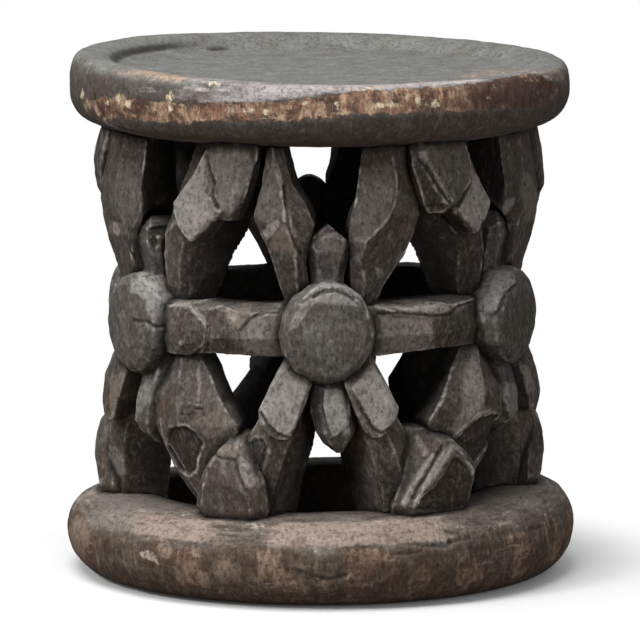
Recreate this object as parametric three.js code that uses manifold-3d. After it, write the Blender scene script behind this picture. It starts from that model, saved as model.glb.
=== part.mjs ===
// A low carved stool: a round dished seat on a cage of six spiders that stands on a ring.
// Millimetres. The stool's axis is Z, its foot stands at height 0, and its front looks towards -Y.
// A turn is in degrees round the axis, from the front towards +X.
import * as THREE from 'three';
import { mergeVertices } from 'three/addons/utils/BufferGeometryUtils.js';
import Module from 'manifold-3d';

// Driving dimensions
const SEAT_ACROSS = 400;
const SEAT_THICKNESS = 50;
const SEAT_OVERHANG = 32;
const RIM_WIDTH = 24;
const DISH_DEPTH = 9;
const BASE_LEDGE = 37;
const BASE_THICKNESS = 68;
const CAGE_HEIGHT = 292;
const WALL_DEPTH = 38;
const BOSS_ABOVE_BASE = 144;
const BOSS_ACROSS = 71;
const BOSS_STANDS_OUT = 12.5;
const BOSS_TALLER = 1.08;
const ARM_HEIGHT = 38;
const KNEE_SHARE_LOST_BEHIND = 0.4;
const RISE_TO_THE_RIGHT = 0.017;
const FALL_TO_THE_BACK = 0.055;
const RIM_WAVE = 7;
const RIM_SIDES_HIGHER = 3;
const SEAT_COLLAR = 3.5;
const SEAM = 0.3;

// Heights and radii that follow from them
const SPIDERS = 6;
const PITCH = 360 / SPIDERS;
const SEAT_UNDER = BASE_THICKNESS + CAGE_HEIGHT;
const STOOL_HEIGHT = SEAT_UNDER + SEAT_THICKNESS;
const BOSS_HEIGHT = BASE_THICKNESS + BOSS_ABOVE_BASE;
const SEAT_RADIUS = SEAT_ACROSS / 2;
const WALL_OUTER = SEAT_RADIUS - SEAT_OVERHANG;
const WALL_INNER = WALL_OUTER - WALL_DEPTH;
const BASE_RADIUS = WALL_OUTER + BASE_LEDGE;
const LATHE_STEPS = 44;
const BOSS_STEPS = 16;

const WOOD = {
  seat: { color: 0x6f6a64, roughness: 0.72, metalness: 0 },
  base: { color: 0x6e5d54, roughness: 0.8, metalness: 0 },
  cage: { color: 0x5c554f, roughness: 0.78, metalness: 0 },
  boss: { color: 0x5f5a56, roughness: 0.7, metalness: 0 },
};

const wasm = await Module();
wasm.setup();

// A point given by its turn round the axis, its radius and its height.
function at(turn, radius, height) {
  const angle = THREE.MathUtils.degToRad(turn);
  return new THREE.Vector3(radius * Math.sin(angle), -radius * Math.cos(angle), height);
}

// The foot and the seat are level, but all between them rises a little to the right and falls at the back.
function setByHand(geometry) {
  const places = geometry.attributes.position;
  const { mapLinear, clamp } = THREE.MathUtils;
  const seatMiddle = SEAT_UNDER + SEAT_THICKNESS / 2;
  for (let i = 0; i < places.count; i += 1) {
    const height = places.getZ(i);
    const overFoot = clamp(height / BASE_THICKNESS, 0, 1);
    const underSeat = clamp(mapLinear(height, BOSS_HEIGHT, seatMiddle, 1, 0), 0, 1);
    const rise = RISE_TO_THE_RIGHT * overFoot * underSeat * places.getX(i);
    const fall = FALL_TO_THE_BACK * overFoot * underSeat * Math.max(0, places.getY(i));
    places.setZ(i, height + rise - fall);
  }
  return geometry;
}

function solidFrom(geometry) {
  const bare = geometry.clone();
  bare.deleteAttribute('normal');
  bare.deleteAttribute('uv');
  const merged = mergeVertices(setByHand(bare), 1e-3);
  return new wasm.Manifold(new wasm.Mesh({
    numProp: 3,
    vertProperties: new Float32Array(merged.attributes.position.array),
    triVerts: new Uint32Array(merged.index.array),
  }));
}

function geometryFrom(solid) {
  const mesh = solid.getMesh();
  const geometry = new THREE.BufferGeometry();
  geometry.setAttribute('position', new THREE.BufferAttribute(mesh.vertProperties, 3));
  geometry.setIndex(new THREE.BufferAttribute(mesh.triVerts, 1));
  const flat = geometry.toNonIndexed();
  flat.computeVertexNormals();
  return flat;
}

// A solid skinned over rings of the same number of points, closed by a fan at each end.
function skin(rings) {
  const size = rings[0].length;
  const places = rings.flat().flatMap((point) => point.toArray());
  const faces = [];
  for (let ring = 0; ring + 1 < rings.length; ring += 1) {
    for (let i = 0; i < size; i += 1) {
      const j = (i + 1) % size;
      const low = ring * size;
      const high = low + size;
      faces.push(low + i, low + j, high + j, low + i, high + j, high + i);
    }
  }
  const last = (rings.length - 1) * size;
  for (let i = 1; i + 1 < size; i += 1) {
    faces.push(0, i + 1, i);
    faces.push(last, last + i, last + i + 1);
  }
  const geometry = new THREE.BufferGeometry();
  geometry.setAttribute('position', new THREE.Float32BufferAttribute(places, 3));
  geometry.setIndex(faces);
  return geometry;
}

// A closed ring of wood turned from a profile of [radius, height] points.
function turned(profile) {
  return new THREE.LatheGeometry(profile.map(([x, y]) => new THREE.Vector2(x, y)), LATHE_STEPS)
    .rotateX(Math.PI / 2);
}

// A height as a share of the way from the boss up to the seat, and from the boss down to the base.
const up = (share) => BOSS_HEIGHT + share * (SEAT_UNDER - BOSS_HEIGHT);
const down = (share) => BOSS_HEIGHT - share * (BOSS_HEIGHT - BASE_THICKNESS);

// A member of the cage, cut level at each row. A row is its height, the degrees from its hub to its
// near edge, its far edge and its ridge, or to both sides of a flat crest, how far that stands out of
// the wall, and how many degrees the near and far faces widen towards the inside. Its side is 1 to
// the right of the hub and -1 to the left.
function member(rows, { hub, side = 1, bevel = 8, inner = WALL_INNER, grow = 0 }) {
  const cuts = rows.map(([height, near, far, ridge, stands, widenNear = 0, widenFar = 0]) => {
    const outer = WALL_OUTER + stands + grow;
    const slack = THREE.MathUtils.radToDeg(grow / WALL_INNER);
    const ring = [
      at(hub + side * (near - slack), outer - bevel, height),
      ...[ridge].flat().map((turn) => at(hub + side * turn, outer, height)),
      at(hub + side * (far + slack), outer - bevel, height),
      at(hub + side * (far + widenFar + slack), inner - grow, height),
      at(hub + side * (near - widenNear - slack), inner - grow, height),
    ];
    return side > 0 ? ring : ring.reverse();
  });
  if (rows[0][0] > rows[rows.length - 1][0]) cuts.reverse();
  for (const point of cuts[0]) point.z -= grow;
  for (const point of cuts[cuts.length - 1]) point.z += grow;
  return solidFrom(skin(cuts));
}

function seat(grow) {
  const rim = SEAT_RADIUS - RIM_WIDTH;
  const floor = STOOL_HEIGHT - DISH_DEPTH;
  const bottom = SEAT_UNDER - grow;
  const profile = [
    [0, bottom - SEAT_COLLAR],
    [WALL_OUTER - 3, bottom - SEAT_COLLAR],
    [WALL_OUTER + 3, bottom],
    [SEAT_RADIUS - SEAT_OVERHANG * 0.53, bottom + 2.5],
    [SEAT_RADIUS - SEAT_OVERHANG * 0.16, bottom + 8.5],
    [SEAT_RADIUS, SEAT_UNDER + SEAT_THICKNESS * 0.48],
    [SEAT_RADIUS, SEAT_UNDER + SEAT_THICKNESS * 0.62],
    [SEAT_RADIUS - 1.5, STOOL_HEIGHT - 8],
    [SEAT_RADIUS - 5.5, STOOL_HEIGHT - 2],
    [SEAT_RADIUS - 11, STOOL_HEIGHT],
    [rim, STOOL_HEIGHT],
    [rim - 10, STOOL_HEIGHT - DISH_DEPTH * 0.35],
    [rim - 21, floor + DISH_DEPTH * 0.15],
    [rim - 38, floor + DISH_DEPTH * 0.05],
    [rim * 0.45, floor],
    [0, floor],
  ];
  const shape = turned(profile);
  const places = shape.attributes.position;
  for (let i = 0; i < places.count; i += 1) {
    const x = places.getX(i);
    const y = places.getY(i);
    const height = places.getZ(i);
    const top = THREE.MathUtils.smoothstep(height, SEAT_UNDER + SEAT_THICKNESS / 3, floor);
    const outwards = THREE.MathUtils.smoothstep(Math.hypot(x, y), rim - 40, rim);
    const wave = RIM_WAVE * (y - x) / SEAT_ACROSS + RIM_SIDES_HIGHER * (x / SEAT_RADIUS) ** 2;
    places.setZ(i, height + wave * top * outwards);
  }
  return solidFrom(shape);
}

function baseRing(grow) {
  const top = BASE_THICKNESS + grow;
  const profile = [
    [WALL_INNER + 10, 0],
    [BASE_RADIUS - BASE_LEDGE * 0.76, 0],
    [BASE_RADIUS - BASE_LEDGE * 0.38, 5],
    [BASE_RADIUS - BASE_LEDGE * 0.11, 17],
    [BASE_RADIUS, BASE_THICKNESS * 0.5],
    [BASE_RADIUS - BASE_LEDGE * 0.05, top - 22],
    [BASE_RADIUS - BASE_LEDGE * 0.22, top - 12],
    [BASE_RADIUS - BASE_LEDGE * 0.49, top - 5],
    [BASE_RADIUS - BASE_LEDGE * 0.81, top - 1.2],
    [WALL_OUTER - 6, top],
    [WALL_INNER + 8, top],
    [WALL_INNER, top - 5],
    [WALL_INNER - 4, BASE_THICKNESS / 2],
    [WALL_INNER, 7],
  ];
  return solidFrom(turned([...profile, profile[0]]));
}

// The spider's body: a domed drum with a raised collar, a pointed head above and a faceted tail below.
function spider(hub, hand, grow) {
  const radius = BOSS_ACROSS / 2 + grow;
  const face = WALL_OUTER + BOSS_STANDS_OUT + grow;
  const drum = new THREE.LatheGeometry([
    [0, WALL_INNER - 6 - grow],
    [radius * 0.9, WALL_INNER - 6 - grow],
    [radius * 1.04, WALL_OUTER - 8],
    [radius * 1.04, WALL_OUTER - 2],
    [radius * 0.97, face - 6],
    [radius * 0.84, face - 2.5],
    [radius * 0.5, face - 0.6],
    [0, face],
  ].map(([x, y]) => new THREE.Vector2(x, y)), BOSS_STEPS)
    .rotateX(Math.PI)
    .scale(1, 1, BOSS_TALLER)
    .rotateZ(THREE.MathUtils.degToRad(hub))
    .translate(0, 0, BOSS_HEIGHT);
  const head = member([
    [up(0.05), -5.2, 5.2, [-3, 3], -9],
    [up(0.3), -4.4, 4.8, [-2, 2.6], -8],
    [up(0.46), -6, 7.4, [-3, 4.4], -1],
    [up(0.54), -5, 6.8, [-2.4, 4.2], -2],
    [up(0.585), -2.4, 5, [-0.6, 3.4], -7],
    [up(0.61), 0, 3, [0.8, 2.2], -12],
  ], { hub, bevel: 6, inner: WALL_INNER + 6, grow });
  const tail = member(shaped([
    [0.05, -4.6, 7.6, [-0.8, 5], -6],
    [0.42, -4.4, 8.6, [-0.4, 5.6], 2],
    [0.54, -2.8, 7.6, [-0.2, 5.4], 1],
    [0.6, -0.8, 6.2, [1, 4.8], -4],
    [0.66, 2.6, 5, [3.2, 4.4], -15],
  ], down, hand), { hub, bevel: 8, inner: WALL_INNER + 4, grow });
  return solidFrom(drum).add(head).add(tail);
}

// The band from one boss to the next, its crest scooped by the adze.
function arm(junction, grow) {
  const rows = [
    [-28, 0.5, 0.36, -3],
    [-16, 0.5, 0.52, -1],
    [-9, 0.48, 0.36, -3],
    [0, 0.44, 0.52, 0],
    [9, 0.47, 0.4, -2],
    [28, 0.52, 0.5, -4],
  ];
  const rings = rows.map(([step, low, crest, stands]) => {
    const turn = junction + step;
    const outer = WALL_OUTER + stands + grow;
    const bottom = BOSS_HEIGHT - ARM_HEIGHT * low - grow;
    const top = BOSS_HEIGHT + ARM_HEIGHT * 0.55 + grow;
    return [
      at(turn, outer - 5, bottom),
      at(turn, WALL_INNER - grow, bottom + 2),
      at(turn, WALL_INNER - 2 - grow, top - 1),
      at(turn, WALL_OUTER - 20, top),
      at(turn, outer - 3, BOSS_HEIGHT + ARM_HEIGHT * crest + grow),
      at(turn, outer, BOSS_HEIGHT - ARM_HEIGHT * 0.1),
    ];
  });
  return solidFrom(skin(rings));
}

// A rounded lap that one boss lays over the start of the band.
function lap(hub, grow) {
  return member([
    [BOSS_HEIGHT + ARM_HEIGHT * 0.47, 10, 20.5, 15, 1],
    [BOSS_HEIGHT + ARM_HEIGHT * 0.14, 10, 26.4, 20, 4],
    [BOSS_HEIGHT - ARM_HEIGHT * 0.26, 10, 25.6, 19, 4],
    [BOSS_HEIGHT - ARM_HEIGHT * 0.52, 10, 20, 15, 0],
  ], { hub, bevel: 3, inner: WALL_OUTER - 12, grow });
}

// The block where two upper legs meet the seat. Where one leg reaches across to it, a leaf lies on
// that leg and against the block.
function topBlock(hub, side, kind, grow) {
  const block = {
    pointed: [
      [up(1.03), 27, 41.5, [31, 37], 4],
      [up(0.85), 27.6, 41.3, [31.5, 37], 9],
      [up(0.71), 27.6, 38.8, [31.5, 36], 12],
      [up(0.65), 28.4, 37.2, [32, 35.4], 11],
      [up(0.6), 31, 35.8, [33.5, 34.8], 7],
    ],
    round: [
      [up(1.03), 21, 37.5, 35, 5],
      [up(0.88), 19.6, 37.6, 33, 11],
      [up(0.77), 20.3, 36, 30, 13],
      [up(0.68), 23.5, 34.5, 27.5, 12],
      [up(0.62), 27, 32, 29, 7],
    ],
    between: [
      [up(1.03), 23, 37, 30, 6],
      [up(0.86), 22, 38, 31, 9],
      [up(0.74), 24, 36, 30.5, 8],
      [up(0.64), 28.6, 31.4, 30, 2],
    ],
  }[kind];
  const leaf = {
    pointed: [
      [up(0.96), 26.5, 29.5, [27, 28.6], 1],
      [up(0.8), 22, 31, [22.8, 29.5], 4],
      [up(0.67), 17.3, 33, [18.4, 31], 8],
      [up(0.62), 17.6, 32, [18.6, 30], 9],
      [up(0.56), 18.8, 28, [19.8, 27], 9],
      [up(0.48), 22.4, 24, [22.8, 23.6], 8],
    ],
    round: [
      [up(0.9), 18, 22, [18.8, 21], 1],
      [up(0.77), 14.8, 22, [15.8, 21], 4],
      [up(0.65), 11.6, 25, [12.8, 23.5], 7],
      [up(0.61), 12.6, 25, [13.6, 23.5], 8],
      [up(0.56), 14.6, 21.5, [15.4, 20.5], 8],
      [up(0.49), 17.1, 18.4, [17.4, 18.1], 6],
    ],
  }[kind];
  const solid = member(block, { hub, side, bevel: 5, inner: WALL_INNER + 6, grow });
  if (!leaf) return solid;
  const back = WALL_INNER + WALL_DEPTH / 2;
  return solid.add(member(leaf, { hub, side, bevel: 3, inner: back, grow }));
}

// The three-cornered block where two lower legs meet the base, some shorter by a share of their height.
function knee(junction, side, ridged, shorter, grow) {
  const rows = ridged ? [
    [down(1.06), -11.8, 9.6, [-8, 6.5], 5],
    [down(0.95), -12.5, 11.4, [-7.5, 8.5], 11],
    [down(0.8), -9.6, 13, [-3.5, 9.5], 13],
    [down(0.7), -8.6, 10.6, [-1, 7.4], 11],
    [down(0.62), -7.6, 7, [0.4, 4.6], 7],
    [down(0.55), -6.6, 2.5, [-2, 0.5], -2],
  ] : [
    [down(1.06), -12.6, 4.6, [-9.5, 2], 5],
    [down(0.95), -14.4, 6.2, [-10.5, 3], 11],
    [down(0.82), -13.6, 5, [-9, 2], 13],
    [down(0.72), -12, 3, [-7.6, 0.6], 11],
    [down(0.64), -10, 0.4, [-6.4, -1.4], 7],
    [down(0.56), -8, -2.8, [-6, -4.2], -1],
  ];
  for (const row of rows) row[0] -= shorter * Math.max(0, row[0] - BASE_THICKNESS);
  return member(rows, { hub: junction, side, bevel: 9, inner: WALL_INNER + 4, grow });
}

function uprightLeg(hub, side, hand, grow) {
  const rows = [
    [0.0, 4.5, 11, 8, -10],
    [0.25, 7, 17, 10.5, -4],
    [0.39, 6.6, 21.6, 9, 2],
    [0.49, 6.1, 23.8, 10, 5],
    [0.61, 6.1, 25.7, 14.9, 8, -2],
    [0.71, 7.8, 25.2, 17.5, 7, -3.6],
    [0.84, 8.7, 23.6, 17.8, 4, -4],
    [1.03, 10.5, 23.5, 17, 0, -4],
  ];
  return member(shaped(rows, up, hand), { hub, side, grow });
}

function slenderLeg(hub, side, hand, grow) {
  const rows = [
    [0.0, 4, 10.5, 7.5, -10],
    [0.18, 4.6, 12.2, 8, -7],
    [0.37, 6, 14.8, 8.2, 1],
    [0.47, 5, 16.4, 8.4, 4],
    [0.59, 3.2, 19.6, 10.4, 7],
    [0.63, 3.6, 20.1, 10.8, 7],
    [0.78, 9.4, 17.4, 12.4, 4],
    [1.03, 13.6, 16.8, 15, 0],
  ];
  return member(shaped(rows, up, hand), { hub, side, grow });
}

function leaningLeg(hub, side, hand, grow) {
  const rows = [
    [0.0, 5, 12, 9, -14],
    [0.18, 6, 15.7, 9.5, -10, 0, 5],
    [0.38, 6.3, 16.8, 9.5, -6, 0, 10],
    [0.49, 6.8, 18.8, 11, -5, 0, 13],
    [0.61, 10, 25, 16, -6, 0, 10.5],
    [0.8, 15, 33, 23, -8, 0, 6],
    [1.03, 20, 40, 30, -10, 0, 1],
  ];
  return member(shaped(rows, up, hand), { hub, side, grow });
}

// A thigh like a tongue, lying on the shin that goes on down to the base.
function tonguedLeg(hub, side, hand, grow) {
  const shin = [
    [0.0, 3, 10, 7, -12],
    [0.33, 6, 15, 10.5, -3, 3, 0],
    [0.52, 9, 20.4, 14.6, 2, 6, 0],
    [0.64, 11.3, 23.6, 17, 5, 7, 0],
    [0.84, 14.5, 26.2, 20, 4, 6.5, 0],
    [1.06, 16.4, 27.5, 21.5, 0, 6, 0],
  ];
  const thigh = [
    [0.1, 3.4, 10.5, [4.4, 9.5], 3],
    [0.27, 4, 14.7, [5.2, 13.5], 7],
    [0.41, 6.4, 17.6, [7.8, 16.2], 10],
    [0.48, 7.9, 17, [9.2, 15.6], 11],
    [0.53, 9, 14.9, [10, 13.9], 11],
    [0.56, 10.4, 13, [11, 12.4], 10],
  ];
  const back = WALL_OUTER - 12;
  return member(shaped(shin, down, hand), { hub, side, grow })
    .add(member(shaped(thigh, down, hand), { hub, side, bevel: 2, inner: back, grow }));
}

// A thigh and shin cut as one broad leg, with a bulge where it turns down to the base.
function broadLeg(hub, side, hand, grow) {
  const rows = [
    [0.0, 3, 11, 7, -12],
    [0.17, 8.5, 21, 16, -6, 0, -1.5],
    [0.26, 8, 26, 17.5, 0, 2, -3],
    [0.39, 8, 31, 19, 8, 3, -4],
    [0.51, 8.5, 36, 20, 10, 4, -4],
    [0.64, 11, 34, 21, 6, 4, -2],
    [0.79, 12.4, 32, 23, -2, 4, 0],
    [0.94, 19, 31, 25, -7, 4, 0],
    [1.06, 22, 31, 27, -10, 4, 0],
  ];
  return member(shaped(rows, down, hand), { hub, side, grow });
}

// The rows of a leg or a tail as this one was cut by hand: moved sideways, leaned, or left broader
// with a flat crest.
function shaped(rows, level, { shift = 0, lean = 0, broader = 0 } = {}) {
  return rows.map(([share, near, far, ridge, ...rest]) => {
    const move = shift + lean * share;
    const sides = [ridge].flat().map((turn) => turn + move);
    const crest = broader ? [sides[0], far + move + broader - 3] : sides;
    return [level(share), near + move, far + move + broader, crest, ...rest];
  });
}

// How each spider's legs were cut: those that reach lean over to the next spider's, the rest stand.
const spiders = [
  { left: { kind: 'slender' }, right: {}, lowerRight: { shift: 0.6 } },
  {
    left: { reaches: true },
    right: { shift: -3, lean: -8, broader: 9 },
    lowerLeft: { shift: -4 },
    tail: { shift: -6, lean: 13 },
  },
  { left: { reaches: true }, right: {}, lowerLeft: { broader: -1 }, lowerRight: { broad: true } },
  { left: { shift: -2.6 }, right: {}, lowerRight: { shift: -4.5, lean: 10 } },
  { left: {}, right: { reaches: true } },
  {
    left: { shift: -3, lean: -8, broader: 9 },
    right: { reaches: true },
    tail: { shift: 6, lean: -13 },
    laps: true,
  },
];

const pieces = [];

// Whether the junction after a hub is one of the two at the back.
function isBehind(hub) {
  return Math.abs(hub + PITCH / 2 - 180) < PITCH;
}

function addPiece(name, make, wood, hub = 0) {
  pieces.push({ name, make, wood, hub });
}

addPiece('seat', seat, WOOD.seat);
addPiece('base_ring', baseRing, WOOD.base);

spiders.forEach((legs, index) => {
  const hub = index * PITCH;
  addPiece(`spider_${index + 1}`, (grow) => spider(hub, legs.tail, grow), WOOD.boss, hub);
});
spiders.forEach((legs, index) => {
  const hub = index * PITCH;
  const band = (grow) => arm(hub + PITCH / 2, grow);
  const make = legs.laps ? (grow) => band(grow).add(lap(hub, grow)) : band;
  addPiece(`arm_${index + 1}`, make, WOOD.cage, hub);
});
spiders.forEach((legs, index) => {
  const hub = index * PITCH;
  const next = spiders[(index + 1) % SPIDERS];
  const fromHub = Boolean(legs.right.reaches);
  const reached = fromHub || next.left.reaches;
  const kind = !reached ? 'between' : ['round', 'pointed'][index % 2];
  const owner = fromHub ? hub : hub + PITCH;
  const side = fromHub ? 1 : -1;
  addPiece(`top_block_${index + 1}`, (grow) => topBlock(owner, side, kind, grow), WOOD.cage, hub);
  const ridged = index % 2 === 0;
  const junction = hub + PITCH / 2;
  const shorter = isBehind(hub) ? KNEE_SHARE_LOST_BEHIND : 0;
  addPiece(`knee_${index + 1}`, (grow) => knee(junction, -side, ridged, shorter, grow), WOOD.cage, hub);
});

// Straight legs are cut first, and the reaching legs end against them.
for (const reaching of [false, true]) {
  spiders.forEach((legs, index) => {
    const hub = index * PITCH;
    for (const [name, side] of [['left', -1], ['right', 1]]) {
      const upper = legs[name];
      if (Boolean(upper.reaches) !== reaching) continue;
      const lower = legs[name === 'left' ? 'lowerLeft' : 'lowerRight'] ?? {};
      const straight = upper.kind === 'slender' ? slenderLeg : uprightLeg;
      const above = reaching ? leaningLeg : straight;
      const below = reaching || lower.broad ? broadLeg : tonguedLeg;
      addPiece(`upper_leg_${name}_${index + 1}`, (grow) => above(hub, side, upper, grow), WOOD.cage, hub);
      addPiece(`lower_leg_${name}_${index + 1}`, (grow) => below(hub, side, lower, grow), WOOD.cage, hub);
    }
  });
}

function touches(a, b) {
  const one = a.boundingBox();
  const other = b.boundingBox();
  return [0, 1, 2].every((i) => one.min[i] < other.max[i] && other.min[i] < one.max[i]);
}

// Each piece ends a seam short of every piece that comes before it.
const stool = new THREE.Group();
stool.name = 'stool';
const groups = new Map();
const before = [];
for (const { name, make, wood, hub } of pieces) {
  const whole = make(0);
  const solid = before.filter((other) => touches(whole, other))
    .reduce((left, other) => left.subtract(other), whole);
  before.push(make(SEAM));
  if (!groups.has(hub)) {
    const group = new THREE.Group();
    group.rotation.z = THREE.MathUtils.degToRad(hub);
    groups.set(hub, group);
    stool.add(group);
  }
  const geometry = geometryFrom(solid).rotateZ(-THREE.MathUtils.degToRad(hub));
  const mesh = new THREE.Mesh(geometry, new THREE.MeshStandardMaterial({ ...wood, flatShading: true }));
  mesh.name = name;
  groups.get(hub).add(mesh);
}

export default stool;
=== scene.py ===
# %% [markdown]
# # A low carved stool
# The real stool is one block of dark hardwood: a dished seat on a cage of six carved spiders that
# stands on a thick ring. Nothing on it is flat or sharp. It was cut with an adze and a knife, then
# handled for years, so every arris is rounded and paler than the faces beside it.
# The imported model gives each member's place and size. This file gives each one its carved surface.

# %% Load the fixed frame
import math

import bpy
import numpy as np
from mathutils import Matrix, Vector
from mathutils.bvhtree import BVHTree


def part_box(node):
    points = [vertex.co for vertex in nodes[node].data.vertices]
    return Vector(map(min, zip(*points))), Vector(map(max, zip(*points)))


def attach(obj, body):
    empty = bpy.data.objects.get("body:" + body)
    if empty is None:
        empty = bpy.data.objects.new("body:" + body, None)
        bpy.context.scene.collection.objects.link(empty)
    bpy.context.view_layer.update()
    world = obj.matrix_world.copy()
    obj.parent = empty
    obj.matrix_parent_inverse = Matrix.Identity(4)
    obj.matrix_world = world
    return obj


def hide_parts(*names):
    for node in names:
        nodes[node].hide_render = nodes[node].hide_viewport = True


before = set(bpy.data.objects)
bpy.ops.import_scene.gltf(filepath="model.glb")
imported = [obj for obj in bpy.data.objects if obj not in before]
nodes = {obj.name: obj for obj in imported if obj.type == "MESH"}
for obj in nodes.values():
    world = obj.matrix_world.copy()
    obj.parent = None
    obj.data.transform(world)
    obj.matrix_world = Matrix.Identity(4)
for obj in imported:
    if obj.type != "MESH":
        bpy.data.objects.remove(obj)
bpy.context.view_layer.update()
scene = bpy.context.scene
MM = 0.001
print(len(nodes), "members in the frame")

# %% [markdown]
# ## Noise that is the same on every run
# Carved wood is never regular, so each surface needs numbers that look random. A whole-number hash
# gives them from the place alone, with no random generator. `swell` blends them into soft bumps,
# and `scoop` finds how far each point lies from the middle of the nearest adze cut.

# %% Noise
PRIMES = (374761393, 668265263, 1440662683, 1274126177)


def hashed(i, j, k, seed):
    n = (i * PRIMES[0] + j * PRIMES[1] + k * PRIMES[2] + seed * PRIMES[3]) & 0xFFFFFFFF
    n = ((n ^ (n >> 13)) * PRIMES[3]) & 0xFFFFFFFF
    return ((n ^ (n >> 16)) & 0xFFFFFF) / 0xFFFFFF


def swell(places, size, seed):
    cell = np.floor(places / size).astype(np.int64)
    part = places / size - cell
    part = part * part * (3 - 2 * part)
    total = np.zeros(len(places))
    for corner in np.ndindex(2, 2, 2):
        weight = np.where(corner, part, 1 - part).prod(axis=1)
        total += weight * hashed(*(cell + corner).T, seed)
    return total * 2 - 1


def scoop(places, size, seed):
    scaled = places / size
    cell = np.floor(scaled).astype(np.int64)
    nearest = np.full(len(places), 9.0)
    for step in np.ndindex(3, 3, 3):
        around = cell + np.array(step) - 1
        middle = around + np.stack([hashed(*around.T, seed + axis) for axis in range(3)], axis=1)
        nearest = np.minimum(nearest, ((scaled - middle) ** 2).sum(axis=1))
    return np.minimum(nearest, 1)


print("noise at three places:", swell(np.diag([0.1, 0.2, 0.3]), 30 * MM, 1).round(2))

# %% [markdown]
# ## Reading and writing a mesh as arrays
# A carved surface has tens of thousands of points, too many to move one by one in Python. Blender
# hands all of them over as one array, so a whole member is carved in a few lines.

# %% Mesh arrays
def places_of(mesh):
    places = np.zeros(len(mesh.vertices) * 3)
    mesh.vertices.foreach_get("co", places)
    return places.reshape(-1, 3)


def normals_of(mesh):
    normals = np.zeros(len(mesh.vertices) * 3)
    mesh.vertices.foreach_get("normal", normals)
    return normals.reshape(-1, 3)


def put_places(mesh, places):
    mesh.vertices.foreach_set("co", places.ravel())
    mesh.update()


def put_mask(mesh, name, values):
    layer = mesh.attributes.get(name) or mesh.attributes.new(name, "FLOAT", "POINT")
    layer.data.foreach_set("value", np.clip(values, 0, 1))


def edges_of(mesh):
    edges = np.zeros(len(mesh.edges) * 2, np.int32)
    mesh.edges.foreach_get("vertices", edges)
    return edges.reshape(-1, 2)


def neighbour_mean(values, edges):
    a, b = edges.T
    count = np.bincount(a, minlength=len(values)) + np.bincount(b, minlength=len(values))
    columns = values.reshape(len(values), -1).T
    sums = [np.bincount(a, column[b], len(values)) + np.bincount(b, column[a], len(values))
            for column in columns]
    return (np.array(sums) / np.maximum(count, 1)).T.reshape(values.shape)


def smoothstep(low, high, values):
    t = np.clip((values - low) / (high - low), 0, 1)
    return t * t * (3 - 2 * t)


def round_axis(places):
    radius = np.hypot(places[:, 0], places[:, 1])
    turn = np.degrees(np.arctan2(places[:, 0], -places[:, 1]))
    return radius, turn


def away_from_axis(turn):
    return np.stack([np.sin(np.radians(turn)), -np.cos(np.radians(turn)), 0 * turn], axis=1)


# %% [markdown]
# ## From a faceted solid to carved wood
# The frame's solids have sharp arrises and a seam of 0.3 mm where two meet. The real members run
# into each other. A modifier stack does the first part: Weld joins the facets, Displace grows the
# solid a little so that it meets its neighbours, Remesh gives it even small faces, and Smooth
# rounds the arrises. A bevel could round them too, but it fails where the cuts made slivers.

# %% Remesh a member
def remeshed(name, voxel, grow, rounding):
    work = bpy.data.objects.new("work", nodes[name].data.copy())
    scene.collection.objects.link(work)
    weld = work.modifiers.new("weld", "WELD")
    weld.merge_threshold = 0.02 * MM
    swell_out = work.modifiers.new("grow", "DISPLACE")
    swell_out.strength = grow
    swell_out.mid_level = 0
    remesh = work.modifiers.new("remesh", "REMESH")
    remesh.mode = "VOXEL"
    remesh.voxel_size = voxel
    smooth = work.modifiers.new("smooth", "SMOOTH")
    smooth.factor = 0.5
    smooth.iterations = rounding
    graph = bpy.context.evaluated_depsgraph_get()
    mesh = bpy.data.meshes.new_from_object(work.evaluated_get(graph))
    bpy.data.objects.remove(work)
    mesh.name = name + "_carved"
    mesh.materials.clear()
    for attribute in [a.name for a in mesh.attributes if not a.is_required and a.name[0] != "."]:
        mesh.attributes.remove(mesh.attributes[attribute])
    return mesh


# %% [markdown]
# ## Knife cuts and scoops
# A carver takes wood off in flat slices. Each slice here is a plane that comes down on the member
# until it has cut a little below the highest point near it, so it leaves a facet with a crisp edge.
# Smaller scoops and soft waves go over that. Each facet keeps a tone of its own, as the knife
# crossed the fibres at another angle.

# %% Cut and scoop
CUT_REACH = 30 * MM


def knife_cuts(places, outwards, seed, count, depth):
    tone = np.full(len(places), 0.5)
    farthest = int(np.argmax(np.hypot(places[:, 0], places[:, 1])))
    for number in range(count):
        pick = farthest if number == 0 else int(hashed(number, seed, 3, 5) * (len(places) - 1))
        lean = np.array([hashed(number, seed, axis, 9) for axis in range(3)]) - 0.5
        facing = outwards[pick] + 0.55 * lean
        facing /= np.linalg.norm(facing)
        away = np.linalg.norm(places - places[pick], axis=1)
        near = np.flatnonzero(away < CUT_REACH)
        levels = places[near] @ facing
        over = np.maximum(0, levels - levels.max() + depth)
        over *= smoothstep(CUT_REACH, 0.7 * CUT_REACH, away[near])
        places[near] -= facing * over[:, None]
        tone[near[over > 0.15 * depth]] = hashed(number, seed, 7, 1)
    return tone


def cut_plane(places, corners, reach):
    a, b, c = (np.array([*(radius * MM * away_from_axis(np.array([turn]))[0, :2]), height * MM])
               for turn, height, radius in corners)
    facing = np.cross(b - a, c - a)
    facing /= np.linalg.norm(facing)
    over = (places - a) @ facing
    over *= smoothstep(1.3 * reach, reach, np.linalg.norm(places - (a + b + c) / 3, axis=1))
    places -= facing * np.maximum(over, 0)[:, None]


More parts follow.
